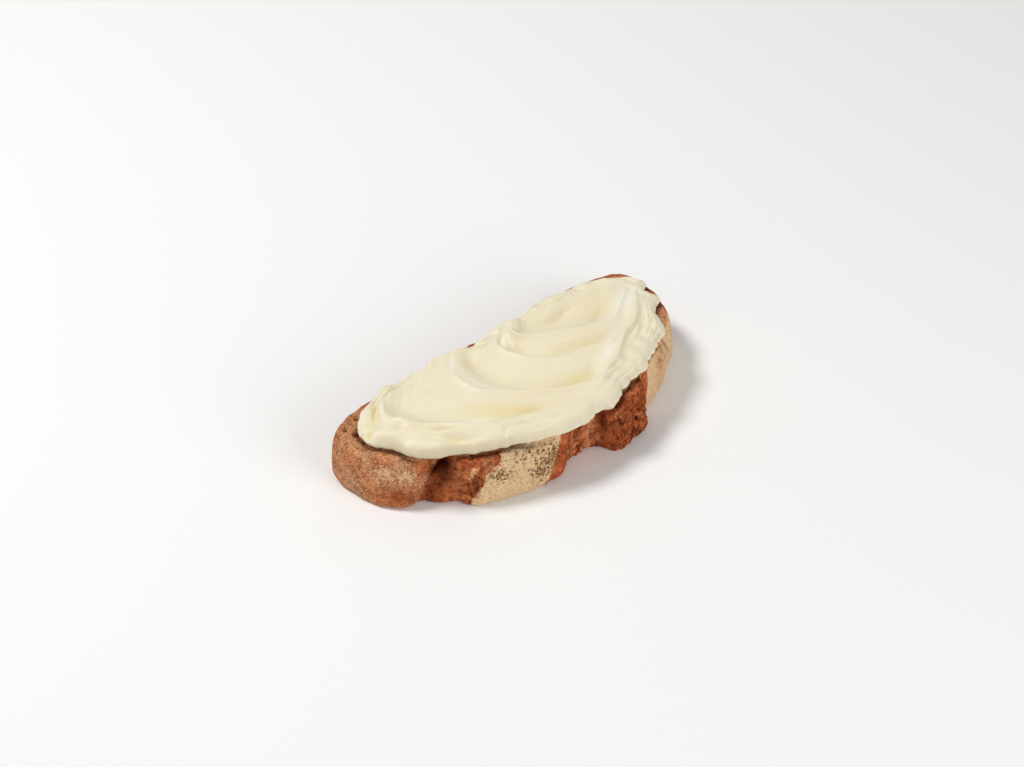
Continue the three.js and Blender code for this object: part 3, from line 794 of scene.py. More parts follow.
@dataclass
class BreadSlice:
    """Half-moon slice with a cracked, floury crust and toasted cut faces."""

    outline: PlanCurve = PlanCurve(0.0, 0.0, 75.0, 76.3, 47.0, 19.0, 2.0, 3.8, 6.0)
    outline_points: int = 1600
    front_reach: Span = (2.0, 14.0)
    flare: float = 2.0
    back_flare: float = 0.4
    belly: float = 3.4
    belly_ends: Span = (0.3, 1.0)
    belly_length: Span = (-60.0, 60.0)
    belly_front: float = 0.35
    belly_level: float = 0.6
    heel_x: float = 50.0
    heel_width: float = 20.0
    heel_out: float = 2.2
    heel_reach: Span = (4.0, 14.0)
    left_lump: CrustPlate = CrustPlate((-80.0, -78.0, -66.0, -61.0), (0.0, -6.0), -2.0, 0.8)
    shoulder: CrustPlate = CrustPlate((-68.0, -61.0, -54.0, -47.0), (0.0, 0.0), -4.0, -3.4)
    crease: CrustPlate = CrustPlate((-57.6, -54.8, -53.4, -50.1), (-8.4, -8.4), -4.0, -1.4, 0.2)
    torn_strip: CrustPlate = CrustPlate((-45.0, -42.0, -38.0, -35.5), (-11.0, -11.0), -0.5, -0.7, 0.7)
    floury_plate: CrustPlate = CrustPlate((-38.0, -35.5, -14.0, -12.0), (-11.0, -7.0), 0.5, 0.7)
    torn_recess: CrustPlate = CrustPlate((-14.0, -3.0, 8.0, 11.5), (0.0, 0.0), -4.2, -6.8, 0.8)
    torn_lump: CrustPlate = CrustPlate((9.5, 13.5, 28.5, 33.5), (0.0, 0.0), 2.2, 4.2, 1.0)
    right_plate: CrustPlate = CrustPlate((31.5, 35.5, 58.0, 70.0), (0.0, 0.0), -2.2, -1.8)
    tan_end: CrustPlate = CrustPlate((-90.0, -80.0, -57.5, -54.5), (0.0, -8.4))
    tan_sides: Span = (0.9, 1.0)
    back_bake: float = 0.4
    back_bake_reach: Span = (0.0, 10.0)
    flour_panel: CrustPlate = CrustPlate((-39.8, -35.6, -14.0, -8.0), (-11.0, -9.6))
    flour_panel_rim: Span = (19.8, 20.8)
    end_panel: CrustPlate = CrustPlate((40.2, 42.0, 69.0, 78.0), (-6.0, 0.0))
    end_panel_rim: Span = (18.0, 19.6)
    end_dust: float = 0.24
    end_dust_tan: Span = (0.3, 0.9)
    flour_rubs: tuple[WallPatch, ...] = (
        WallPatch(-68.5, 13.2, 6.0, 3.2, 0.34),
        WallPatch(-71.2, 14.2, 1.5, 2.6, 0.28),
        WallPatch(-65.0, 14.0, 1.8, 2.6, 0.3),
        WallPatch(-74.5, 5.0, 3.0, 4.0, 0.15),
        WallPatch(-46.8, 14.4, 3.0, 4.2, 0.52),
        WallPatch(-39.2, 18.2, 2.6, 3.2, -0.9),
        WallPatch(52.5, 13.0, 5.5, 7.0, -0.46),
    )
    bakes: tuple[WallPatch, ...] = (
        WallPatch(-67.5, 5.5, 5.5, 4.5, 1.0),
        WallPatch(-61.0, 16.5, 4.0, 4.5, 0.9),
    )
    scorches: tuple[WallPatch, ...] = (
        WallPatch(-54.5, 12.5, 3.0, 6.0, 1.0),
        WallPatch(-66.5, 5.5, 5.0, 4.0, 0.45),
        WallPatch(-61.5, 16.0, 3.5, 3.5, 0.2),
        WallPatch(-47.0, 8.0, 3.0, 4.0, 0.64),
        WallPatch(-59.0, 5.0, 3.0, 6.0, 0.4),
        WallPatch(30.0, 11.0, 4.0, 9.0, 0.25),
        WallPatch(16.0, 15.0, 5.0, 5.0, 0.35),
    )
    bare_patches: tuple[WallPatch, ...] = (
        WallPatch(-29.0, 17.0, 7.0, 2.2, 0.3),
        WallPatch(-20.0, 10.5, 8.0, 8.0, 0.8),
        WallPatch(-15.0, 12.5, 3.5, 6.0, 0.26),
        WallPatch(-37.8, 12.0, 5.5, 5.5, 0.66),
        WallPatch(54.0, 11.0, 6.0, 7.0, 0.1),
    )
    tan_patches: tuple[WallPatch, ...] = (
        WallPatch(6.2, 10.0, 2.2, 6.0, 1.0),
        WallPatch(53.0, 12.5, 8.0, 9.0, 1.3),
        WallPatch(67.5, 19.5, 5.0, 2.6, 1.0),
        WallPatch(-40.6, 15.8, 2.0, 4.0, 0.7),
        WallPatch(-4.0, 6.0, 5.0, 6.0, 0.35),
    )
    # Patches of painted shade in the crease beside the left lump and in the notch beside the torn lump.
    shades: tuple[WallPatch, ...] = (
        WallPatch(-58.2, 14.2, 2.2, 3.6, 1.0),
        WallPatch(-55.2, 16.2, 2.2, 2.6, 0.9),
        WallPatch(-60.2, 7.5, 1.3, 4.5, 0.4),
        WallPatch(9.9, 12.0, 1.0, 7.0, 0.72),
    )
    end_crack: CrustPlate = CrustPlate((55.7, 56.7, 57.1, 58.1), (10.6, 10.6))
    crack_rise: Span = (0.3, 0.5)
    # Strength of the painted shade in the crack.
    crack_shade: float = 0.6
    crack_depth: float = 0.5
    crease_rise: Span = (0.1, 0.5)
    # Strength of the painted shade in the crease.
    crease_shade: float = 0.3
    rim_hole: tuple[float, float, float] = (-66.3, 4.2, 1.7)
    rim_hole_rise: Span = (15.0, 18.0)
    rim_hole_power: int = 3
    # Painted contact shadow under the spread's edge: its strength, its width and the heights where it rises.
    contact_shadow_share: float = 0.8
    contact_shadow_width: float = 0.9
    contact_shadow_rise: Span = (17.2, 19.2)
    crumb_slope: Span = (0.6, 0.92)
    crumb_inset: Span = (1.2, 3.4)
    tan_wholeness: float = 0.8
    merge_gap: float = 0.001 * MM
    voxel: float = 0.55 * MM
    smoothing: float = 0.5
    smoothing_rounds: int = 8
    grit_depths: dict[Grit, float] = field(
        default_factory=lambda: {
            Grit.SKIN: 0.9 * MM,
            Grit.TORN: 2.1 * MM,
            Grit.CRUMPLE: 1.1 * MM,
            Grit.PIT: 1.9 * MM,
            Grit.PORE: 1.4 * MM,
        }
    )
    lumps: dict[Grit, Pattern] = field(
        default_factory=lambda: {
            Grit.SKIN: (3.2 * MM, 4.0, 0.6),
            Grit.TORN: (5.0 * MM, 4.0, 0.6),
            Grit.CRUMPLE: (1.9 * MM, 3.0, 0.65),
        }
    )
    hole_sizes: dict[Grit, float] = field(default_factory=lambda: {Grit.PIT: 2.8 * MM, Grit.PORE: 3.4 * MM})
    closed_cells: dict[Grit, float] = field(default_factory=lambda: {Grit.PIT: 0.3, Grit.PORE: 0.5})
    closed_blend: float = 0.1
    hole_bowl: Span = (0.44, 0.12)
    hole_wobble: Pattern = (0.8 * MM, 1.0, 0.5)
    hole_shift: float = 0.9 * MM
    # Low places of the torn crags, which take painted shade.
    dip_depth: Span = (0.5, 0.3)
    dip_share: float = 0.8

    def plates(self) -> tuple[CrustPlate, ...]:
        """All plates of the crust."""
        left = (self.left_lump, self.shoulder, self.crease, self.torn_strip, self.floury_plate)
        return left + (self.torn_recess, self.torn_lump, self.right_plate)

    def front(self, y: Array) -> Array:
        """Tells the domed front, 1, from the flat back, 0, by places of the outline across the slice."""
        return smoothstep(-y, *self.front_reach)

    def wall(self, x: Array, y: Array, height: Array) -> tuple[Array, Array]:
        """Says how the wall stands to the outline.

        Args:
            x: places of the outline along the slice.
            y: places of the outline across the slice.
            height: share of the slice's thickness, from 0 at the foot to 1 at the rim.

        Returns:
            How far out of the outline the wall stands, and how torn it is.
        """
        front = self.front(y)
        belly = lerp(*self.belly_ends, smoothstep(x, *self.belly_length)) * lerp(1.0, self.belly_front, front)
        heel = np.exp(-(((x - self.heel_x) / self.heel_width) ** 2)) * smoothstep(y, *self.heel_reach)
        out = -self.flare * height * lerp(self.back_flare, 1.0, front)
        out = out + self.belly * belly * (4.0 * height * (1.0 - height) - self.belly_level)
        out = out + self.heel_out * heel
        torn = np.zeros_like(x)
        for plate in self.plates():
            share = plate.share(x, height) * front
            out = out + share * lerp(plate.foot, plate.rim, height)
            torn = np.maximum(torn, share * plate.torn)
        return out, torn

    def fine_mesh(self) -> bpy.types.Mesh:
        """Rebuilds the slice's solid as a fine, even skin.

        Returns:
            The skin, in metres.
        """
        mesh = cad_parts["bread_slice"].data.copy()
        sculpt = bmesh.new()
        sculpt.from_mesh(mesh)
        bmesh.ops.remove_doubles(sculpt, verts=sculpt.verts, dist=self.merge_gap)
        sculpt.to_mesh(mesh)
        sculpt.free()
        mesh.materials.clear()
        carrier = bpy.data.objects.new("fine_bread_source", mesh)
        remesh = carrier.modifiers.new("even_skin", "REMESH")
        remesh.mode = "VOXEL"
        remesh.voxel_size = self.voxel
        smooth = carrier.modifiers.new("soft_edges", "SMOOTH")
        smooth.factor = self.smoothing
        smooth.iterations = self.smoothing_rounds
        fine = plain_copy(carrier, "fine_bread")
        mesh = fine.data
        bpy.data.objects.remove(fine)
        return mesh

    def wall_places(self, mesh: bpy.types.Mesh) -> WallPlaces:
        """Finds where the points of the skin lie.

        Args:
            mesh: the slice's fine skin.

        Returns:
            Their places in local millimetres.
        """
        points = mesh_vectors(mesh, mesh.vertices, "co") / MM - SLICE_SHIFT
        plan = points[:, :2]
        z = points[:, 2]
        ring, outward = self.outline.ring(self.outline_points)
        nearest, _ = nearest_in_plan(ring, plan)
        x = ring[nearest, 0]
        y = ring[nearest, 1]
        height = np.clip(z / SLICE_THICKNESS, 0.0, 1.0)
        out, torn = self.wall(x, y, height)
        inset = out - np.sum((plan - ring[nearest]) * outward[nearest], axis=1)
        return WallPlaces(plan, x, y, z, height, self.front(y), inset, torn)

    def floury(self, at: WallPlaces, tan: Array, left_end: Array) -> Array:
        """Says where flour lies.

        Args:
            at: the places.
            tan: how pale and tan each is.
            left_end: which lie on the left end, where the flour is thin.

        Returns:
            How floury each place is.
        """
        panel = self.flour_panel.share(at.x, at.height) * (1.0 - smoothstep(at.z, *self.flour_panel_rim))
        end = self.end_panel.share(at.x, at.height) * (1.0 - smoothstep(at.z, *self.end_panel_rim))
        dust = self.end_dust * smoothstep(tan, *self.end_dust_tan) * left_end
        return np.maximum(np.maximum(panel, end) * at.front, dust) + at.covered(self.flour_rubs)

    def painted_shade(self, at: WallPlaces, crack: Array, spread_edge: Array) -> Array:
        """Says where shade is painted on the crust: in the crease and the crack, in the listed shaded
        patches, and as a contact shadow under the spread's edge.

        Args:
            at: the places.
            crack: which lie in the crack of the right end.
            spread_edge: points along the spread's edge in plan.

        Returns:
            How much painted shade each place takes.
        """
        crease = self.crease.share(at.x, at.height) * smoothstep(at.height, *self.crease_rise) * at.front
        _, gap = nearest_in_plan(spread_edge, at.plan)
        # Painted contact shadow in a thin band below the spread's edge.
        contact_shadow = np.exp(-((gap / self.contact_shadow_width) ** 2)) * smoothstep(at.z, *self.contact_shadow_rise)
        folds = np.maximum(self.crease_shade * crease, self.crack_shade * crack)
        return np.maximum(np.maximum(folds, at.covered(self.shades)), self.contact_shadow_share * contact_shadow)

    def holed(self, at: WallPlaces, crack: Array) -> Array:
        """Says where the skin sinks into the hole of the left rim and the crack of the right end.

        Args:
            at: the places.
            crack: which lie in the crack.

        Returns:
            How deep each place lies, from 0 to 1.
        """
        x, y, radius = self.rim_hole
        away = np.hypot(at.plan[:, 0] - x, at.plan[:, 1] - y) / radius
        hole = np.exp(-(away**self.rim_hole_power)) * smoothstep(at.z, *self.rim_hole_rise)
        return np.maximum(hole, self.crack_depth * crack)

    def paint_zones(self, mesh: bpy.types.Mesh, spread_edge: Array) -> None:
        """Paints where the skin is torn, floury, tan, in painted shade, holed or cut crumb.

        Args:
            mesh: the slice's fine skin.
            spread_edge: points along the spread's edge in plan, below which a contact shadow is painted on
                the crust.
        """
        at = self.wall_places(mesh)
        normals = mesh_vectors(mesh, mesh.vertex_normals, "vector")
        crumb = smoothstep(np.abs(normals[:, 2]), *self.crumb_slope) * smoothstep(at.inset, *self.crumb_inset)
        crack = self.end_crack.share(at.x, at.height) * smoothstep(at.height, *self.crack_rise) * at.front
        left_end = self.tan_end.share(at.x, at.height)
        tan_spots = at.covered(self.tan_patches)
        tan = left_end * lerp(*self.tan_sides, at.front)
        tan = tan * (1.0 - self.back_bake * smoothstep(at.y, *self.back_bake_reach))
        tan = np.maximum(tan * (1.0 - at.covered(self.bakes)), tan_spots)
        on_crust = {
            Zone.TORN: at.torn * (1.0 - self.tan_wholeness * np.clip(tan_spots, 0.0, 1.0)),
            Zone.FLOURY: self.floury(at, tan, left_end),
            Zone.BARE: at.covered(self.bare_patches),
            Zone.SCORCH: at.covered(self.scorches),
        }
        all_over = {
            Zone.TAN: tan,
            # Painted shade in the crease, the crack, the notch and under the spread's edge.
            Zone.CREASE: self.painted_shade(at, crack, spread_edge),
            Zone.HOLE: self.holed(at, crack),
            Zone.CRUMB: crumb,
        }
        for zone, values in on_crust.items():
            paint(mesh, zone, np.clip(values, 0.0, 1.0) * (1.0 - crumb))
        for zone, values in all_over.items():
            paint(mesh, zone, np.clip(values, 0.0, 1.0))

    def relief(self, finish: bpy.types.Material) -> GeometryRecipe:
        """Builds the tree that roughens the skin: pebbled crust, torn crags with pits, and open pores.

        Args:
            finish: the crust's material.

        Returns:
            The tree, ready to run.
        """
        recipe = GeometryRecipe("crust_relief")
        sheet = recipe.sheet
        place = sheet.add("GeometryNodeInputPosition").outputs[0]
        normal = sheet.add("GeometryNodeInputNormal").outputs[0]
        torn = sheet.stored(Zone.TORN)
        depth = {grit: recipe.given(f"{grit.value} Depth", deep) for grit, deep in self.grit_depths.items()}
        lump: dict[Grit, Socket] = {}
        for grit, (size, *layers) in self.lumps.items():
            lump[grit] = sheet.noise(place, recipe.given(f"{grit.value} Size", size), *layers)
        crag = lump[Grit.TORN]
        hole = {grit: self.holes(recipe, place, grit) for grit in self.hole_sizes}
        pit = sheet.times(hole[Grit.PIT], torn)
        pore = sheet.times(hole[Grit.PORE], sheet.stored(Zone.CRUMB))
        pore = sheet.math("MAXIMUM", pore, sheet.stored(Zone.HOLE))

        # A skin pattern swings half its depth to each side, and the torn patterns their whole depth.
        lift = sheet.times(sheet.centred(lump[Grit.SKIN]), depth[Grit.SKIN])
        for grit in (Grit.TORN, Grit.CRUMPLE):
            lift = sheet.total(lift, sheet.times(sheet.centred(lump[grit]), 2.0, depth[grit], torn))
        for sunk, grit in ((pit, Grit.PIT), (pore, Grit.PORE)):
            lift = sheet.math("SUBTRACT", lift, sheet.times(sunk, depth[grit]))
        twist = sheet.scale(sheet.shifts(crag), sheet.times(depth[Grit.TORN], torn))
        offset = sheet.plus(sheet.scale(normal, lift), twist)

        # Pits, pores and the low places of the crags are stored as cavity, for the painted shade in them.
        dip = sheet.times(sheet.ramp(crag, *self.dip_depth), torn, self.dip_share)
        cavity = sheet.math("MAXIMUM", sheet.math("MAXIMUM", pit, pore), dip)
        inputs = {"Geometry": recipe.entry.outputs["Geometry"], "Name": Zone.CAVITY.value, "Value": cavity}
        marked = sheet.add("GeometryNodeStoreNamedAttribute", inputs, data_type="FLOAT", domain="POINT")
        moved = sheet.add("GeometryNodeSetPosition", {"Geometry": marked.outputs[0], "Offset": offset})
        recipe.end(moved.outputs[0], finish)
        return recipe

    def holes(self, recipe: GeometryRecipe, place: Socket, grit: Grit) -> Socket:
        """Adds round holes in some of the cells of an uneven pattern.

        Args:
            recipe: the tree.
            place: positions.
            grit: the kind of hole.

        Returns:
            1 in the middle of a hole and 0 outside.
        """
        sheet = recipe.sheet
        closed = self.closed_cells[grit]
        wobble = sheet.scale(sheet.shifts(sheet.noise(place, *self.hole_wobble)), self.hole_shift)
        size = recipe.given(f"{grit.value} Size", self.hole_sizes[grit])
        cells = sheet.cells(sheet.plus(place, wobble), size)
        bowl = sheet.ramp(cells.outputs["Distance"], *self.hole_bowl)
        draw = sheet.add("ShaderNodeSeparateXYZ", {0: cells.outputs["Color"]})
        return sheet.times(bowl, sheet.ramp(draw.outputs[0], closed, closed + self.closed_blend))

    def build(self, grain: bpy.types.NodeTree, spread_edge: Array) -> bpy.types.Object:
        """Builds the dressed slice.

        Args:
            grain: the shared shader group.
            spread_edge: points along the spread's edge in plan.

        Returns:
            The piece that stands for the solid slice.
        """
        mesh = self.fine_mesh()
        self.paint_zones(mesh, spread_edge)
        finish = CrustFinish().material(grain)
        piece = self.relief(finish).run(mesh, "rustic_bread")
        lay_flat(piece.data)
        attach(piece, "root")
        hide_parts("bread_slice")
        return piece


@dataclass
class LooseGrains:
    """Grains scattered over the zones of a skin, each an uneven ball between the flattest and the fullest."""

    name: str
    zone: Zone
    finish: CrumbFinish
    per_square_metre: float
    smallest: float
    largest: float
    seed: int
    floor_gap: float = 1.0 * MM
    full_turns: tuple[float, float, float] = (6.28, 6.28, 6.28)
    flattest: tuple[float, float, float] = (0.6, 0.6, 0.45)
    fullest: tuple[float, float, float] = (1.2, 1.0, 0.9)

    def build(self, carrier: bpy.types.Object, grain: bpy.types.NodeTree) -> bpy.types.Object:
        """Scatters the grains, and none at the floor.

        Args:
            carrier: the piece they lie on, painted with the zone.
            grain: the shared shader group.

        Returns:
            The grains as one piece.
        """
        recipe = GeometryRecipe(self.name + "_scatter")
        sheet = recipe.sheet
        density = recipe.given("Grains per Square Metre", self.per_square_metre)
        smallest = recipe.given("Smallest", self.smallest)
        largest = recipe.given("Largest", self.largest)
        seed = recipe.given("Seed", self.seed, "count")
        share = sheet.stored(self.zone)
        place = sheet.add("GeometryNodeInputPosition").outputs[0]
        height = sheet.add("ShaderNodeSeparateXYZ", {0: place}).outputs[2]
        clear = sheet.ramp(height, self.floor_gap, 2.0 * self.floor_gap)
        inputs = {
            "Mesh": recipe.entry.outputs["Geometry"],
            "Density": sheet.times(share, share, density, clear),
            "Seed": seed,
        }
        points = sheet.add("GeometryNodeDistributePointsOnFaces", inputs)
        ball = sheet.add("GeometryNodeMeshIcoSphere", {"Radius": 1.0, "Subdivisions": 1})
        random = "FunctionNodeRandomValue"
        turned = sheet.add(random, {1: self.full_turns, 8: seed}, data_type="FLOAT_VECTOR")
        size = sheet.add(random, {2: smallest, 3: largest, 8: seed}, data_type="FLOAT")
        squash = sheet.add(random, {0: self.flattest, 1: self.fullest, 8: seed}, data_type="FLOAT_VECTOR")
        inputs = {
            "Points": points.outputs["Points"],
            "Instance": ball.outputs["Mesh"],
            "Rotation": turned.outputs[0],
            "Scale": sheet.scale(squash.outputs[0], size.outputs[1]),
        }
        placed = sheet.add("GeometryNodeInstanceOnPoints", inputs)
        recipe.end(placed.outputs[0], self.finish.material(grain))
        piece = recipe.run(carrier.data.copy(), self.name)
        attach(piece, "root")
        return piece


@dataclass(frozen=True)
class EdgeWave:
    """Waves round the spread's edge, which swell and fade a number of times on their way round."""

    lobes: int
    height: float
    phase: float
    swells: int = 0

    DRIFT = 0.8

    def out(self, turn: Array) -> Array:
        """How far out the waves stand at a turn round the edge."""
        swell = 0.5 + 0.5 * np.cos(self.swells * turn)
        return self.height * swell * np.sin(self.lobes * turn + self.phase + self.DRIFT * np.sin(2.0 * turn))


@dataclass(frozen=True)
class EdgeLobe:
    """Single tongue, or bite where out is negative, at a place on the spread's edge."""

    x: float
    y: float
    width: float
    out: float


@dataclass(frozen=True)
class KnifeScoop:
    """Knife scoop whose crest is a rounded curve about (x, y); its trough lies inside."""

    x: float
    y: float
    left: float
    right: float
    front: float
    back: float
    left_wall: float
    right_wall: float
    crest: float
    floor: float

    POWER = 1.6
    LEAST_RADIUS = 0.05
    START = (0.55, 1.0)
    RUN_OUT = 0.4

    def inside(self, x: Array, y: Array) -> Array:
        """Measures how far inside the crest curve places lie.

        Args:
            x: places along the slice.
            y: places across the slice.

        Returns:
            Distances, negative outside, good close to the curve.
        """
        dx = x - self.x
        dy = y - self.y
        reach_x = np.where(dx < 0.0, self.left, self.right)
        reach_y = np.where(dy < 0.0, self.front, self.back)
        qx = np.abs(dx / reach_x)
        qy = np.abs(dy / reach_y)
        radius = np.maximum((qx**self.POWER + qy**self.POWER) ** (1.0 / self.POWER), self.LEAST_RADIUS)
        slope_x = (qx / radius) ** (self.POWER - 1.0) / reach_x
        slope_y = (qy / radius) ** (self.POWER - 1.0) / reach_y
        return (1.0 - radius) / np.hypot(slope_x, slope_y)

    def start(self, x: Array) -> Array:
        """Rises to 1 towards the end where the knife set in."""
        return smoothstep((self.x - x) / self.left, *self.START)

    def run_out(self, x: Array) -> Array:
        """Rises to 1 towards the end where the knife lifted off."""
        return smoothstep(x, self.x - self.RUN_OUT * self.left, self.x + self.RUN_OUT * self.right)


@dataclass(frozen=True)
class SpreadFold:
    """Single fold, or groove where the height is negative, turned in degrees. Patches of painted shade and
    painted highlight have the same form.
    """

    x: float
    y: float
    turn: float
    length: float
    width: float
    height: float

    def lift(self, x: Array, y: Array) -> Array:
        """Measures what the fold adds.

        Args:
            x: places along the slice.
            y: places across the slice.

        Returns:
            The height, or the strength of a painted shade or highlight, at each place.
        """
        turn = math.radians(self.turn)
        along = (x - self.x) * math.cos(turn) + (y - self.y) * math.sin(turn)
        across = (y - self.y) * math.cos(turn) - (x - self.x) * math.sin(turn)
        return self.height * np.exp(-((along / self.length) ** 2) - (across / self.width) ** 2)


@dataclass(frozen=True)
class Ripple:
    """Even wave with so many radians to a millimetre in each of two directions."""

    height: float
    along: float
    across: float
    phase: float = 0.0

    def at(self, x: Array, y: Array, shift: float = 0.0) -> Array:
        """Height of the wave at a place, with its phase shifted."""
        return self.height * np.sin(self.along * x + self.across * y + self.phase + shift)


def lifted(folds: Sequence[SpreadFold], x: Array, y: Array) -> Array:
    """Adds up folds, or patches of painted shade or highlight."""
    return sum(fold.lift(x, y) for fold in folds)


def rippled(ripples: Sequence[Ripple], x: Array, y: Array) -> Array:
    """Adds up waves."""
    return sum(ripple.at(x, y) for ripple in ripples)


def crossed(ripples: Sequence[Ripple], x: Array, y: Array) -> Array:
    """Multiplies waves into an uneven pattern of humps."""
    return reduce(np.multiply, (ripple.at(x, y) for ripple in ripples))


@dataclass(frozen=True)
class SpreadSkin:
    """Closed skin in local millimetres, with the painted yellow shade of each vertex in hollows and its
    painted shade near the edge.
    """

    vertices: Array
    faces: list[list[int]]
    hollow_shade: Array
    foot: Array


@dataclass
class CheeseSpread:
    """Thick layer of spread, laid on in overlapping knife scoops."""

    bread: BreadSlice
    outline: PlanCurve = PlanCurve(2.2, -2.4, 69.6, 69.9, 44.5, 15.8, 1.75, 3.4, 3.4)
    wave_growth: Span = (0.6, 1.15)
    wave_growth_x: Span = (-30.0, 25.0)
    calm_waves: tuple[EdgeWave, ...] = (EdgeWave(7, 0.55, 0.4),)
    broad_waves: tuple[EdgeWave, ...] = (EdgeWave(13, 0.5, 2.1),)
    fine_waves: tuple[EdgeWave, ...] = (
        EdgeWave(29, 0.36, 1.2),
        EdgeWave(53, 0.36, 0.3, 5),
        EdgeWave(83, 0.24, 2.6, 8),
        EdgeWave(131, 0.13, 1.0, 11),
    )
    lobes: tuple[EdgeLobe, ...] = (
        EdgeLobe(-66.0, 4.0, 4.5, -0.9),
        EdgeLobe(-68.5, -5.0, 3.5, 1.2),
        EdgeLobe(-56.0, 13.0, 8.0, 1.2),
        EdgeLobe(-57.0, -22.0, 8.0, 2.2),
        EdgeLobe(-36.0, -37.0, 6.0, -0.3),
        EdgeLobe(-22.0, -43.0, 9.0, 0.9),
        EdgeLobe(-8.0, -47.0, 6.0, 0.7),
        EdgeLobe(5.0, -46.0, 4.5, -1.7),
        EdgeLobe(22.0, -43.5, 5.0, -1.5),
        EdgeLobe(43.0, -35.0, 6.0, -1.5),
        EdgeLobe(54.0, -28.0, 4.0, -0.4),
        EdgeLobe(62.0, -20.0, 5.5, -3.8),
        EdgeLobe(68.5, -11.5, 3.0, 0.6),
        EdgeLobe(70.0, -5.4, 3.6, -4.9),
        EdgeLobe(68.0, 9.0, 8.0, -3.3),
        EdgeLobe(-7.0, 14.0, 5.0, -1.2),
        EdgeLobe(37.0, 14.0, 12.0, 1.4),
        EdgeLobe(51.0, 13.0, 8.0, 2.4),
    )
    lobe_depth: float = 5.0
    wave_depth: float = 1.8
    scoops: tuple[KnifeScoop, ...] = (
        KnifeScoop(0.0, -2.0, 57.0, 62.0, 38.0, 33.0, 6.5, 4.5, 6.2, 2.2),
        KnifeScoop(14.0, -4.0, 40.0, 36.0, 33.0, 24.0, 14.0, 5.0, 6.9, 2.4),
        KnifeScoop(30.0, -3.0, 32.0, 34.0, 21.0, 24.0, 3.6, 5.0, 7.0, 3.0),
        KnifeScoop(38.0, 4.0, 29.0, 27.0, 17.0, 20.0, 4.0, 8.0, 7.2, 3.5),
    )
    folds: tuple[SpreadFold, ...] = (
        SpreadFold(-50.0, 11.0, 20.0, 6.0, 2.6, 0.9),
        SpreadFold(-36.0, 10.0, 0.0, 15.0, 4.0, 0.8),
        SpreadFold(-60.5, 4.0, 53.0, 7.0, 4.0, -1.8),
        SpreadFold(-58.0, 3.6, 53.0, 6.5, 1.6, -2.2),
        SpreadFold(-62.0, -8.5, -42.0, 6.0, 1.4, 0.8),
        SpreadFold(-66.0, -3.5, 65.0, 2.6, 1.2, -1.6),
        SpreadFold(-47.0, -20.8, -41.0, 6.0, 1.4, -2.4),
        SpreadFold(-46.5, -23.6, -41.0, 7.0, 1.3, 0.9),
        SpreadFold(-46.4, -27.8, -42.0, 6.5, 1.6, -2.6),
        SpreadFold(-55.0, -20.0, -45.0, 4.0, 1.2, -0.7),
        SpreadFold(-56.8, -9.7, -42.0, 2.4, 0.9, -0.9),
        SpreadFold(-52.0, -14.5, -42.0, 3.0, 0.9, -0.8),
        SpreadFold(-54.6, -8.0, -42.0, 3.0, 0.9, 0.6),
        SpreadFold(-56.4, 1.2, 55.0, 4.4, 0.9, 0.8),
        SpreadFold(-67.6, -5.2, 54.0, 3.0, 0.9, -0.9),
        SpreadFold(-51.6, -28.6, -52.0, 3.0, 1.0, 0.6),
        SpreadFold(-31.4, -34.7, 55.0, 2.5, 0.8, -0.6),
        SpreadFold(-21.0, -36.4, -20.0, 8.0, 1.4, -1.0),
        SpreadFold(-14.0, -42.0, -12.0, 10.0, 1.5, -0.9),
        SpreadFold(-23.0, 12.0, 22.0, 4.0, 2.0, 2.0),
        SpreadFold(-12.0, 9.0, -30.0, 5.0, 1.8, 1.0),
        SpreadFold(7.0, 11.5, -5.0, 9.0, 3.4, 2.0),
        SpreadFold(2.5, 4.6, 48.0, 3.4, 1.3, -1.5),
        SpreadFold(33.0, 9.5, 4.0, 7.0, 4.5, 1.9),
        SpreadFold(32.5, 3.4, 10.0, 6.0, 1.6, -1.5),
        SpreadFold(44.5, -4.6, 29.0, 10.0, 2.8, -1.8),
        SpreadFold(54.5, -1.0, 62.0, 7.0, 1.8, 0.7),
        SpreadFold(50.0, -21.0, 45.0, 8.0, 2.2, -1.3),
        SpreadFold(30.0, -34.0, 38.0, 6.0, 1.6, -0.6),
        SpreadFold(26.0, -28.0, 31.0, 14.0, 2.6, 0.8),
        SpreadFold(34.0, -29.0, 31.0, 11.0, 2.4, -0.7),
    )
    # Patches of painted yellow shade in grooves and on the scoops' shaded walls.
    yellow_shade_patches: tuple[SpreadFold, ...] = (
        SpreadFold(-22.5, -25.5, -43.0, 14.0, 3.6, 0.9),
        SpreadFold(9.5, -30.0, -10.0, 9.0, 3.6, 0.8),
        SpreadFold(24.0, -16.0, -15.0, 11.0, 3.2, 0.8),
        SpreadFold(44.0, -3.0, 23.0, 8.0, 3.0, 0.5),
        SpreadFold(-46.6, -20.8, -42.0, 6.0, 1.1, 0.7),
        SpreadFold(-46.2, -27.9, -42.0, 6.5, 1.4, 0.8),
        SpreadFold(-15.5, 1.0, 85.0, 7.0, 3.2, 0.3),
        SpreadFold(7.0, 0.5, 60.0, 5.0, 2.4, 0.3),
        SpreadFold(-57.7, -9.2, -42.0, 2.2, 0.8, 0.7),
        SpreadFold(-53.0, -13.5, -42.0, 2.8, 0.8, 0.6),
        SpreadFold(-68.4, -4.9, 54.0, 3.2, 0.9, 0.8),
        SpreadFold(-59.0, 4.0, 53.0, 7.0, 3.0, 0.8),
        SpreadFold(-66.0, -3.5, 65.0, 3.5, 1.6, 0.6),
    )
    # Patches of painted shade on the scoops' floors and beside a ridge.
    dull_shades: tuple[SpreadFold, ...] = (
        SpreadFold(4.5, -1.2, 35.0, 5.0, 3.0, 0.5),
        SpreadFold(-15.5, 1.0, 85.0, 6.0, 3.0, 0.3),
        SpreadFold(-54.5, -1.0, 60.0, 6.0, 2.5, 0.4),
        SpreadFold(34.0, -29.0, 31.0, 10.0, 2.0, 0.4),
    )
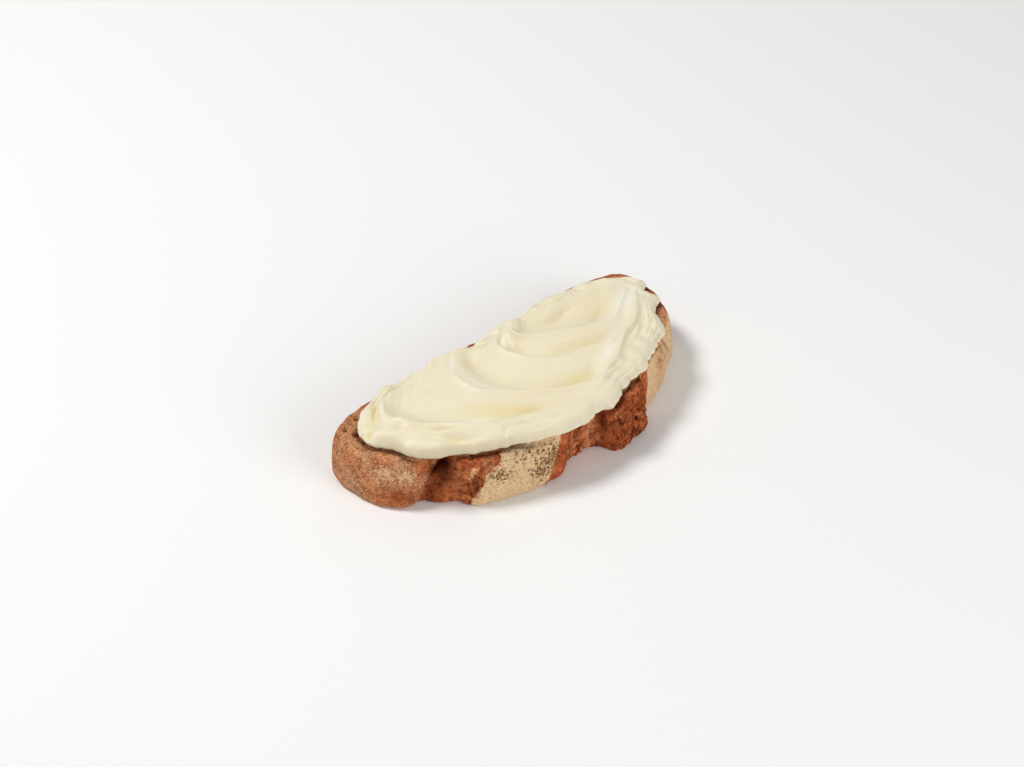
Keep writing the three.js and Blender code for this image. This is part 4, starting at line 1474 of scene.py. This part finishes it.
    # Patches of painted highlight on crests and ridges.
    painted_highlights: tuple[SpreadFold, ...] = (
        SpreadFold(53.0, -8.5, 31.0, 12.0, 3.2, 0.9),
        SpreadFold(-38.0, -21.5, -23.0, 12.0, 2.2, 0.6),
        SpreadFold(-61.5, 7.0, 53.0, 5.0, 3.0, 0.4),
        SpreadFold(26.0, -28.0, 31.0, 13.0, 2.4, 0.7),
        SpreadFold(-20.5, 4.5, 49.0, 4.0, 1.0, 0.9),
        SpreadFold(1.5, 1.2, 48.0, 3.0, 0.9, 0.9),
        SpreadFold(-16.0, -17.0, -45.0, 8.0, 2.2, 0.5),
        SpreadFold(-55.1, -7.1, -42.0, 2.8, 0.8, 0.8),
        SpreadFold(-51.6, -28.3, -52.0, 3.0, 0.9, 0.7),
        SpreadFold(-65.6, -5.2, -40.0, 1.3, 1.1, 0.8),
        SpreadFold(-56.2, 1.9, 55.0, 4.4, 0.9, 0.8),
    )
    # Painted warm shade in one hollow.
    warm_hollow_shade: SpreadFold = SpreadFold(-15.5, -31.5, -35.0, 4.5, 2.2, 0.6)
    base: float = 20.3
    sink: float = 0.6
    edge_width: float = 8.0
    edge_power: float = 2.5
    rim_points: int = 700
    rim_height: float = 0.91
    droop: float = 1.2
    droop_past: Span = (1.5, 5.0)
    droop_blur: int = 22
    droop_inset: float = 3.0
    side_profile: tuple[Span, ...] = ((0.3, 2.6), (0.08, 2.1), (0.0, 1.6), (0.3, 1.0), (0.8, 0.45))
    undercut: float = 1.5
    undercut_drop: float = 0.2
    undercut_droop: float = 0.7
    seat_inset: float = 2.6
    seat_cover: float = 0.4
    sway_x: tuple[Ripple, ...] = (Ripple(0.9, 0.05, 0.21), Ripple(0.4, 0.0, 0.47, 1.0))
    sway_y: tuple[Ripple, ...] = (Ripple(0.9, 0.17, 0.0, 0.6), Ripple(0.35, 0.41, 0.0, 2.0))
    bank_height: float = 5.8
    bank_swell: tuple[Ripple, ...] = (Ripple(0.4, 0.09, 0.0, 0.8), Ripple(1.0, 0.0, 0.13))
    right_bank: float = 4.6
    right_bank_x: Span = (-5.0, 25.0)
    right_bank_y: Span = (0.0, 12.0)
    end_bank_x: Span = (48.0, 64.0)
    right_end: Span = (52.0, 66.0)
    back_fill: Span = (1.0, 12.0)
    back_fade: Span = (4.0, 13.0)
    start_rise: float = 0.6
    crest_wave: Ripple = Ripple(0.25, 0.13, 0.0)
    crest_shift: float = 1.7
    faded_crest: float = 0.6
    floor_wave: Ripple = Ripple(0.3, 0.11, 0.17)
    floor_shift: float = 2.0
    floor_bend: float = 1.5
    left_fill: float = 0.4
    left_fill_x: Span = (-50.0, -25.0)
    cleft_width: Span = (2.0, 8.0)
    least_strip: float = 0.01
    wall_width: float = 4.2
    flank_width: float = 6.0
    lip: float = 0.45
    lip_width: float = 1.1
    stroke_depth: float = 0.06
    stroke_bends: tuple[Ripple, ...] = (Ripple(0.8, 0.11, 0.07), Ripple(0.5, 0.23, -0.19))
    stroke_marks: tuple[Ripple, ...] = (
        Ripple(1.0, 2.1, 1.0),
        Ripple(0.7, 3.7, 1.3, 1.7),
        Ripple(0.4, 6.3, -1.0, 0.4),
    )
    stroke_patches: tuple[Ripple, ...] = (Ripple(0.45, 0.13, 0.0, 1.1), Ripple(1.0, 0.0, 0.19, 0.4))
    stroke_level: float = 0.55
    ledge_depth: float = 0.3
    ledge_bends: tuple[Ripple, ...] = (Ripple(1.6, 0.08, -0.03, 0.5), Ripple(0.9, 0.19, 0.11))
    ledge_marks: tuple[Ripple, ...] = (Ripple(1.0, 2.0, 1.0), Ripple(0.6, 3.4, -1.2, 1.0))
    ledge_patch: Ripple = Ripple(0.5, 0.16, 0.1, 2.0)
    ledge_level: float = 0.5
    ledge_start: Span = (0.8, 2.5)
    ledge_end: Span = (8.0, 12.0)
    facet_depth: float = 0.24
    facet_humps: tuple[Ripple, ...] = (Ripple(1.0, 0.52, -0.33, 1.5), Ripple(1.0, 0.31, 0.58))
    facet_wave: Ripple = Ripple(0.6, 0.83, 0.47)
    lump_depth: float = 0.32
    lump_waves: tuple[Ripple, ...] = (Ripple(1.0, 0.43, 0.3, 0.4), Ripple(0.8, 0.71, -0.5, 2.0))
    lump_humps: tuple[Ripple, ...] = (Ripple(0.5, 1.37, 0.8, 1.0), Ripple(1.0, 0.29, 0.0, 0.5))
    lump_reach: Span = (4.0, 12.0)
    # Painted yellow shade: stronger towards the right, away from the edge and where the spread lies low.
    hollow_share: Span = (0.12, 0.3)
    hollow_x: Span = (-45.0, -20.0)
    hollow_inset: Span = (6.0, 12.0)
    hollow_height: Span = (2.8, 5.6)
    # Painted shade along the spread's edge: how far in it reaches, and how strong it is along and across the
    # slice.
    foot_inset: Span = (0.4, 3.3)
    foot_shade: Span = (0.85, 0.25)
    foot_shade_x: Span = (-45.0, 0.0)
    foot_shade_y: Span = (2.0, 14.0)
    lattice: int = 115
    top_reach: float = 0.985

    def edge_count(self) -> int:
        """How many points the spread's edge has."""
        return 8 * self.lattice

    def edges(self) -> tuple[Array, Array, Array]:
        """Draws the spread's edge in plan.

        Returns:
            The calm edge, what its tongues and bites add to it, and what its fine waves add.
        """
        count = self.edge_count()
        points, normals = self.outline.ring(count)
        turn = 2.0 * math.pi * np.arange(count) / count
        growth = lerp(*self.wave_growth, smoothstep(points[:, 0], *self.wave_growth_x))

        def waved(waves: Sequence[EdgeWave]) -> Array:
            """Sums waves round the edge."""
            return sum(wave.out(turn) for wave in waves) * growth

        lobed = waved(self.broad_waves)
        for lobe in self.lobes:
            away = np.hypot(points[:, 0] - lobe.x, points[:, 1] - lobe.y) / lobe.width
            lobed += lobe.out * np.exp(-(away**2))
        calm = points + normals * waved(self.calm_waves)[:, None]
        return calm, normals * lobed[:, None], normals * waved(self.fine_waves)[:, None]

    def overhang(self, edge: Array) -> Array:
        """Measures how far the edge lies past the bread's rim.

        Args:
            edge: points of the spread's edge in plan.

        Returns:
            Distances, negative where the edge lies over the bread.
        """
        ring, normals = self.bread.outline.ring(self.rim_points)
        out, _ = self.bread.wall(ring[:, 0], ring[:, 1], np.full(len(ring), self.rim_height))
        rim = ring + normals * out[:, None]
        gaps = edge[:, None, :] - rim[None, :, :]
        nearest = np.argmin(np.sum(gaps**2, axis=2), axis=1)
        gap = edge - rim[nearest]
        ahead = np.sum(gap * (rim[nearest] - TOP_CENTRE), axis=1)
        return np.where(ahead > 0.0, 1.0, -1.0) * np.hypot(gap[:, 0], gap[:, 1])

    def banks(self, x: Array, y: Array, wave_x: Array, wave_y: Array) -> Array:
        """Height of the bank round the scoops, which is lower at the right.

        Args:
            x: places along the slice.
            y: places across the slice.
            wave_x: the same places, swayed along.
            wave_y: the same places, swayed across.

        Returns:
            The height above the bread.
        """
        low = smoothstep(wave_x, *self.right_bank_x) * smoothstep(-wave_y, *self.right_bank_y)
        low = np.maximum(low, smoothstep(wave_x, *self.end_bank_x))
        return lerp(self.bank_height, self.right_bank, low) + crossed(self.bank_swell, x, y)

    def swirls(self, x: Array, y: Array) -> tuple[Array, Array]:
        """Height of the spread before its edge rounds down.

        Args:
            x: places along the slice.
            y: places across the slice.

        Returns:
            The height above the bread, and the distance along which the knife's fine marks repeat.
        """
        wave_x = x + rippled(self.sway_x, x, y)
        wave_y = y + rippled(self.sway_y, x, y)
        insides = [scoop.inside(wave_x, wave_y) for scoop in self.scoops]
        for number in reversed(range(len(insides) - 1)):
            insides[number] = np.maximum(insides[number], insides[number + 1])
        starts = [scoop.start(wave_x) for scoop in self.scoops]
        bank = self.banks(x, y, wave_x, wave_y)
        filled = np.maximum(smoothstep(wave_x, *self.right_end), smoothstep(wave_y, *self.back_fill))
        faded = np.maximum(smoothstep(wave_x, *self.right_end), smoothstep(wave_y, *self.back_fade))
        crests = []
        for number, scoop in enumerate(self.scoops):
            crest = scoop.crest + self.start_rise * starts[number]
            crest = crest + self.crest_wave.at(x, y, self.crest_shift * number)
            crests.append(lerp(crest, bank + self.faded_crest, faded))
        height = lerp(bank, crests[0], np.exp(-((np.minimum(insides[0], 0.0) / self.flank_width) ** 2)))
        stroke = insides[0]
        for number, scoop in enumerate(self.scoops):
            inside = np.maximum(insides[number], 0.0)
            floor = scoop.floor + self.floor_wave.at(x, y, self.floor_shift * number)
            floor = floor + self.left_fill * (1.0 - smoothstep(wave_x, *self.left_fill_x))
            floor = lerp(floor, bank, filled)
            if number + 1 < len(self.scoops):
                strip = inside + np.maximum(-insides[number + 1], 0.0)
                share = inside / np.maximum(strip, self.least_strip)
                floor = lerp(crests[number], floor, smoothstep(strip, *self.cleft_width))
                rise = lerp(floor, crests[number + 1], share**self.floor_bend)
            else:
                share = np.zeros_like(x)
                rise = floor
            width = lerp(self.wall_width, scoop.left_wall, starts[number])
            width = lerp(width, scoop.right_wall, scoop.run_out(wave_x))
            wall = np.exp(-((inside / width) ** 2)) * (1.0 - share**2)
            covered = insides[number] > 0.0
            height = np.where(covered, lerp(rise, crests[number], wall), height)
            stroke = np.where(covered, inside, stroke)
        for inside in insides:
            height = height + self.lip * (1.0 - faded) * np.exp(-((inside / self.lip_width) ** 2))
        return height + lifted(self.folds, wave_x, wave_y), stroke

    def strokes(self, x: Array, y: Array, stroke: Array) -> Array:
        """Fine marks that the knife's edge leaves along its way."""
        marks = rippled(self.stroke_marks, stroke, rippled(self.stroke_bends, x, y))
        return self.stroke_depth * marks * (self.stroke_level + crossed(self.stroke_patches, x, y))

    def ledges(self, x: Array, y: Array, distance: Array) -> Array:
        """Soft ledges and facets that the knife left on the bank.

        Args:
            x: places along the slice.
            y: places across the slice.
            distance: how far in from the edge they lie.

        Returns:
            The height that is added there.
        """
        ledge = rippled(self.ledge_marks, distance, rippled(self.ledge_bends, x, y))
        ledge = self.ledge_depth * ledge * (self.ledge_level + self.ledge_patch.at(x, y))
        facet = self.facet_depth * (crossed(self.facet_humps, x, y) + self.facet_wave.at(x, y))
        band = smoothstep(distance, *self.ledge_start) * (1.0 - smoothstep(distance, *self.ledge_end))
        return (ledge + facet) * band

    def back_lumps(self, x: Array, y: Array) -> Array:
        """Lumps along the back edge, where the knife pulled away."""
        lumps = rippled(self.lump_waves, x, y) + crossed(self.lump_humps, x, y)
        return self.lump_depth * lumps * smoothstep(y, *self.lump_reach)

    def edge_share(self, distance: Array) -> Array:
        """Share of the full height at a distance in from the edge, rounding over like a thick bead."""
        left = np.clip(1.0 - distance / self.edge_width, 0.0, 1.0)
        return (1.0 - left**self.edge_power) ** (1.0 / self.edge_power)

    def lattice_turns(self) -> tuple[Array, Array]:
        """Wraps a square lattice onto rings.

        Returns:
            The ring of each lattice point, and its turn from 0 to 1, starting at the right end.
        """
        steps = np.arange(-self.lattice, self.lattice + 1)
        i, j = np.meshgrid(steps, steps, indexing="ij")
        ring = np.maximum(np.abs(i), np.abs(j))
        conditions = [(i == ring) & (j < ring), (j == ring) & (i > -ring), (i == -ring) & (j > -ring)]
        walked = np.select(conditions, [j + ring, 3 * ring - i, 5 * ring - j], 7 * ring + i)
        turn = np.where(ring == 0, 0.0, (walked / np.maximum(8 * ring, 1) + 7.0 / 8.0) % 1.0)
        return ring, turn

    def top(
        self, lattice: tuple[Array, Array], edges: tuple[Array, Array, Array], droop: Array
    ) -> tuple[Array, Array, Array]:
        """Lays the lattice over the top.

        Args:
            lattice: the ring and the turn of each lattice point.
            edges: the calm edge, and what its tongues and its fine waves add.
            droop: how far the edge hangs down at each of its points.

        Returns:
            The vertices, the painted yellow shade of each in hollows, and its painted shade near the edge.
        """
        ring, turn = lattice
        calm, lobed, waved = edges
        place = turn * len(calm)
        low = np.floor(place).astype(int) % len(calm)
        high = (low + 1) % len(calm)
        part = (place - np.floor(place))[..., None]

        def around(values: Array) -> Array:
            """Reads values along the edge at the turn of each lattice point."""
            return lerp(values[low], values[high], part)

        out = around(calm)
        plan = lerp(TOP_CENTRE, out, (self.top_reach * ring / self.lattice)[..., None])
        distance = np.hypot(*np.moveaxis(out - plan, -1, 0))
        for shift, depth in ((lobed, self.lobe_depth), (waved, self.wave_depth)):
            plan = plan + around(shift) * np.exp(-((distance / depth) ** 2))[..., None]
        sag = around(droop[:, None])[..., 0] * np.exp(-distance / self.droop_inset)
        x = plan[..., 0]
        y = plan[..., 1]
        height, stroke = self.swirls(x, y)
        # Painted yellow shade where the spread lies low and away from its edge, and in the listed grooves.
        hollow_shade = lerp(*self.hollow_share, smoothstep(x, *self.hollow_x))
        hollow_shade = hollow_shade * smoothstep(distance, *self.hollow_inset)
        hollow_shade = hollow_shade * (1.0 - smoothstep(height, *self.hollow_height))
        hollow_shade = np.minimum(hollow_shade + lifted(self.yellow_shade_patches, x, y), 1.0)
        height = height + self.strokes(x, y, stroke) + self.ledges(x, y, distance) + self.back_lumps(x, y)
        vertices = np.stack([x, y, self.base + self.edge_share(distance) * height - sag], axis=-1)
        # Painted shade near the edge.
        edge_shade = 1.0 - smoothstep(distance, *self.foot_inset)
        return vertices.reshape(-1, 3), hollow_shade.ravel(), edge_shade.ravel()

    def sides(self, edge: Array, past: Array, droop: Array) -> list[Array]:
        """Draws the rows of vertices down the edge and in to the seat on the bread.

        Args:
            edge: points of the spread's edge in plan.
            past: how far each lies past the bread's rim.
            droop: how far each hangs down.

        Returns:
            The rows, from the top one to the seat.
        """
        even = np.ones(len(edge))
        inwards = TOP_CENTRE - edge
        inwards = inwards / np.linalg.norm(inwards, axis=1, keepdims=True)
        rows = [(inset * even, self.base + z - droop) for inset, z in self.side_profile]
        rows.append((self.undercut * even, self.base - self.undercut_drop - self.undercut_droop * droop))
        seat = np.maximum(self.undercut + self.seat_inset, past + self.seat_cover)
        rows.append((seat, (self.base - self.sink) * even))
        return [np.column_stack([edge + inwards * inset[:, None], z]) for inset, z in rows]

    def skin(self) -> SpreadSkin:
        """Builds the closed skin.

        Returns:
            The top, the sides and the seat in one.
        """
        count = self.edge_count()
        edges = self.edges()
        edge = sum(edges)
        past = self.overhang(edge)
        droop = self.droop * ring_blur(smoothstep(past, *self.droop_past), self.droop_blur)
        ring, turn = self.lattice_turns()
        top, hollow_shade, edge_shade = self.top((ring, turn), edges, droop)

        side = 2 * self.lattice + 1
        index = np.arange(side * side).reshape(side, side)
        corners = [index[:-1, :-1], index[1:, :-1], index[1:, 1:], index[:-1, 1:]]
        quads = [np.stack(corners, axis=-1).reshape(-1, 4)]
        outermost = ring == self.lattice
        upper = np.empty(count, dtype=int)
        upper[np.round(turn[outermost] * count).astype(int) % count] = index[outermost]
        vertices = [top]
        lower = len(top) + np.arange(count)
        for row in self.sides(edge, past, droop):
            vertices.append(row)
            quads.append(np.stack([upper, lower, np.roll(lower, -1), np.roll(upper, -1)], axis=-1))
            upper = lower
            lower = upper + count
        vertices.append(np.array([[*TOP_CENTRE, self.base - self.sink]]))
        fans = np.stack([upper, np.full(count, lower[0]), np.roll(upper, -1)], axis=-1)
        points = np.concatenate(vertices)
        below = len(points) - len(top)
        return SpreadSkin(
            vertices=points,
            faces=np.concatenate(quads).tolist() + fans.tolist(),
            hollow_shade=np.concatenate([hollow_shade, np.zeros(below)]),
            foot=np.concatenate([edge_shade, np.ones(below)]),
        )

    def build(self, grain: bpy.types.NodeTree) -> bpy.types.Object:
        """Builds the dressed spread.

        Args:
            grain: the shared shader group.

        Returns:
            The piece that stands for the solid spread.
        """
        skin = self.skin()
        x = skin.vertices[:, 0]
        y = skin.vertices[:, 1]
        mesh = bpy.data.meshes.new("swirled_spread")
        points = (skin.vertices + SLICE_SHIFT) * MM
        mesh.from_pydata(points.tolist(), [], skin.faces)
        mesh.shade_smooth()
        # Painted shade along the lower front edge, strongest at the left.
        shade = lerp(*self.foot_shade, smoothstep(x, *self.foot_shade_x)) * smoothstep(-y, *self.foot_shade_y)
        # Painted yellow shade in hollows and grooves.
        paint(mesh, Zone.HOLLOW_SHADE, skin.hollow_shade)
        # Painted warm shade in one hollow.
        paint(mesh, Zone.WARM_SHADE, self.warm_hollow_shade.lift(x, y) * (skin.hollow_shade > 0.0))
        # Painted highlights on crests.
        paint(mesh, Zone.HIGHLIGHT, lifted(self.painted_highlights, x, y))
        # Painted shade along the edge and on the sides, and the patches beside ridges.
        paint(mesh, Zone.DULL_SHADE, skin.foot * shade + lifted(self.dull_shades, x, y))
        mesh.materials.append(SpreadFinish().material(grain))
        piece = new_piece(mesh, "swirled_spread")
        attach(piece, "root")
        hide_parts("cheese_spread")
        return piece


@dataclass(frozen=True)
class LampSetting:
    """Soft round lamp, whose way from the slice is to the camera's right, towards the camera and up."""

    way: tuple[float, float, float]
    size: float
    watts: float


@dataclass
class Studio:
    """Pale floor, soft lamps and the camera."""

    azimuth: float = -42.0
    elevation: float = 38.0
    lens: float = 85.0
    sensor: float = 36.0
    nearest_view: float = 0.01
    distance: float = 0.9
    target: tuple[float, float, float] = (0.0023, 0.0128, 0.009)
    floor_side: float = 4.0
    floor_cells: int = 8
    floor_colour: Colour = screen_colour(253, 253, 252)
    floor_roughness: float = 0.9
    floor_gloss: float = 0.1
    sky: float = 0.3
    sky_colour: Colour = (1.0, 0.99, 0.97, 1.0)
    lamps: dict[Lamp, LampSetting] = field(
        default_factory=lambda: {
            Lamp.KEY: LampSetting((-0.7, -0.1, 1.1), 0.4, 9.8),
            Lamp.FILL: LampSetting((0.75, 0.7, 0.45), 0.8, 5.0),
            Lamp.BACK: LampSetting((0.1, -0.9, 0.8), 0.7, 0.6),
        }
    )

    def axes(self) -> tuple[Vector, Vector]:
        """Works out the camera's axes.

        Returns:
            Its way back from the slice and its right hand.
        """
        turn = math.radians(self.azimuth)
        rise = math.radians(self.elevation)
        back = Vector((math.sin(turn) * math.cos(rise), -math.cos(turn) * math.cos(rise), math.sin(rise)))
        return back, Vector((math.cos(turn), math.sin(turn), 0.0))

    def aim(self, thing: bpy.types.Object, place: Vector) -> None:
        """Puts a camera or lamp in the scene and turns it to the slice.

        Args:
            thing: the camera or lamp.
            place: where it stands.
        """
        thing.location = place
        thing.rotation_euler = (place - Vector(self.target)).to_track_quat("Z", "Y").to_euler()
        bpy.context.scene.collection.objects.link(thing)

    def place_camera(self) -> None:
        """Adds the camera at the photograph's viewing angle."""
        lens = bpy.data.cameras.new("camera")
        lens.lens = self.lens
        lens.sensor_width = self.sensor
        lens.clip_start = self.nearest_view
        camera = bpy.data.objects.new("camera", lens)
        back, _ = self.axes()
        self.aim(camera, Vector(self.target) + back * self.distance)
        bpy.context.scene.camera = camera

    def place_lamps(self) -> None:
        """Adds the soft lamps."""
        back, right = self.axes()
        level = Vector((back.x, back.y, 0.0)).normalized()
        for role, lamp in self.lamps.items():
            light = bpy.data.lights.new(role.value, "AREA")
            light.shape = "DISK"
            light.size = lamp.size
            light.energy = lamp.watts
            aside, ahead, up = lamp.way
            place = Vector(self.target) + right * aside + level * ahead + Vector((0.0, 0.0, up))
            self.aim(bpy.data.objects.new(role.value, light), place)

    def lay_floor(self) -> None:
        """Adds the floor."""
        mesh = bpy.data.meshes.new("floor")
        sculpt = bmesh.new()
        cells = self.floor_cells
        bmesh.ops.create_grid(sculpt, x_segments=cells, y_segments=cells, size=0.5 * self.floor_side)
        sculpt.to_mesh(mesh)
        sculpt.free()
        finish = bpy.data.materials.new("pale_floor")
        finish.use_nodes = True
        shader = finish.node_tree.nodes["Principled BSDF"]
        shader.inputs["Base Color"].default_value = self.floor_colour
        shader.inputs["Roughness"].default_value = self.floor_roughness
        shader.inputs["Specular IOR Level"].default_value = self.floor_gloss
        mesh.materials.append(finish)
        new_piece(mesh, "floor")

    def light_sky(self) -> None:
        """Adds the even light from all sides."""
        world = bpy.data.worlds.new("studio_light")
        world.use_nodes = True
        glow = world.node_tree.nodes["Background"]
        glow.inputs["Color"].default_value = self.sky_colour
        glow.inputs["Strength"].default_value = self.sky
        bpy.context.scene.world = world

    def build(self) -> None:
        """Builds the studio."""
        self.place_camera()
        self.place_lamps()
        self.lay_floor()
        self.light_sky()
        bpy.context.scene.view_settings.view_transform = "Standard"


def main() -> None:
    """Builds the studio, the slice, the spread and the loose grains, and notes the sizes."""
    logging.basicConfig(level=logging.INFO, format="%(message)s")
    Studio().build()
    grain = SharedGrain().group()
    bread = BreadSlice()
    spread = CheeseSpread(bread)
    slice_piece = bread.build(grain, sum(spread.edges()))
    spread_piece = spread.build(grain)
    flour = LooseGrains(
        name="flour_dusting",
        zone=Zone.FLOURY,
        finish=CrumbFinish("flour_grains", screen_colour(226, 200, 162), screen_colour(206, 170, 126)),
        per_square_metre=2.6e6,
        smallest=0.12 * MM,
        largest=0.3 * MM,
        seed=7,
    ).build(slice_piece, grain)
    crumbs = LooseGrains(
        name="torn_crumbs",
        zone=Zone.TORN,
        finish=CrumbFinish("crumb_grains", screen_colour(186, 104, 60), screen_colour(140, 68, 38)),
        per_square_metre=4.0e5,
        smallest=0.25 * MM,
        largest=0.7 * MM,
        seed=11,
    ).build(slice_piece, grain)
    for piece in (slice_piece, spread_piece, flour, crumbs):
        log.info("%s: %d faces", piece.name, len(piece.data.polygons))


if __name__ == "__main__":
    main()
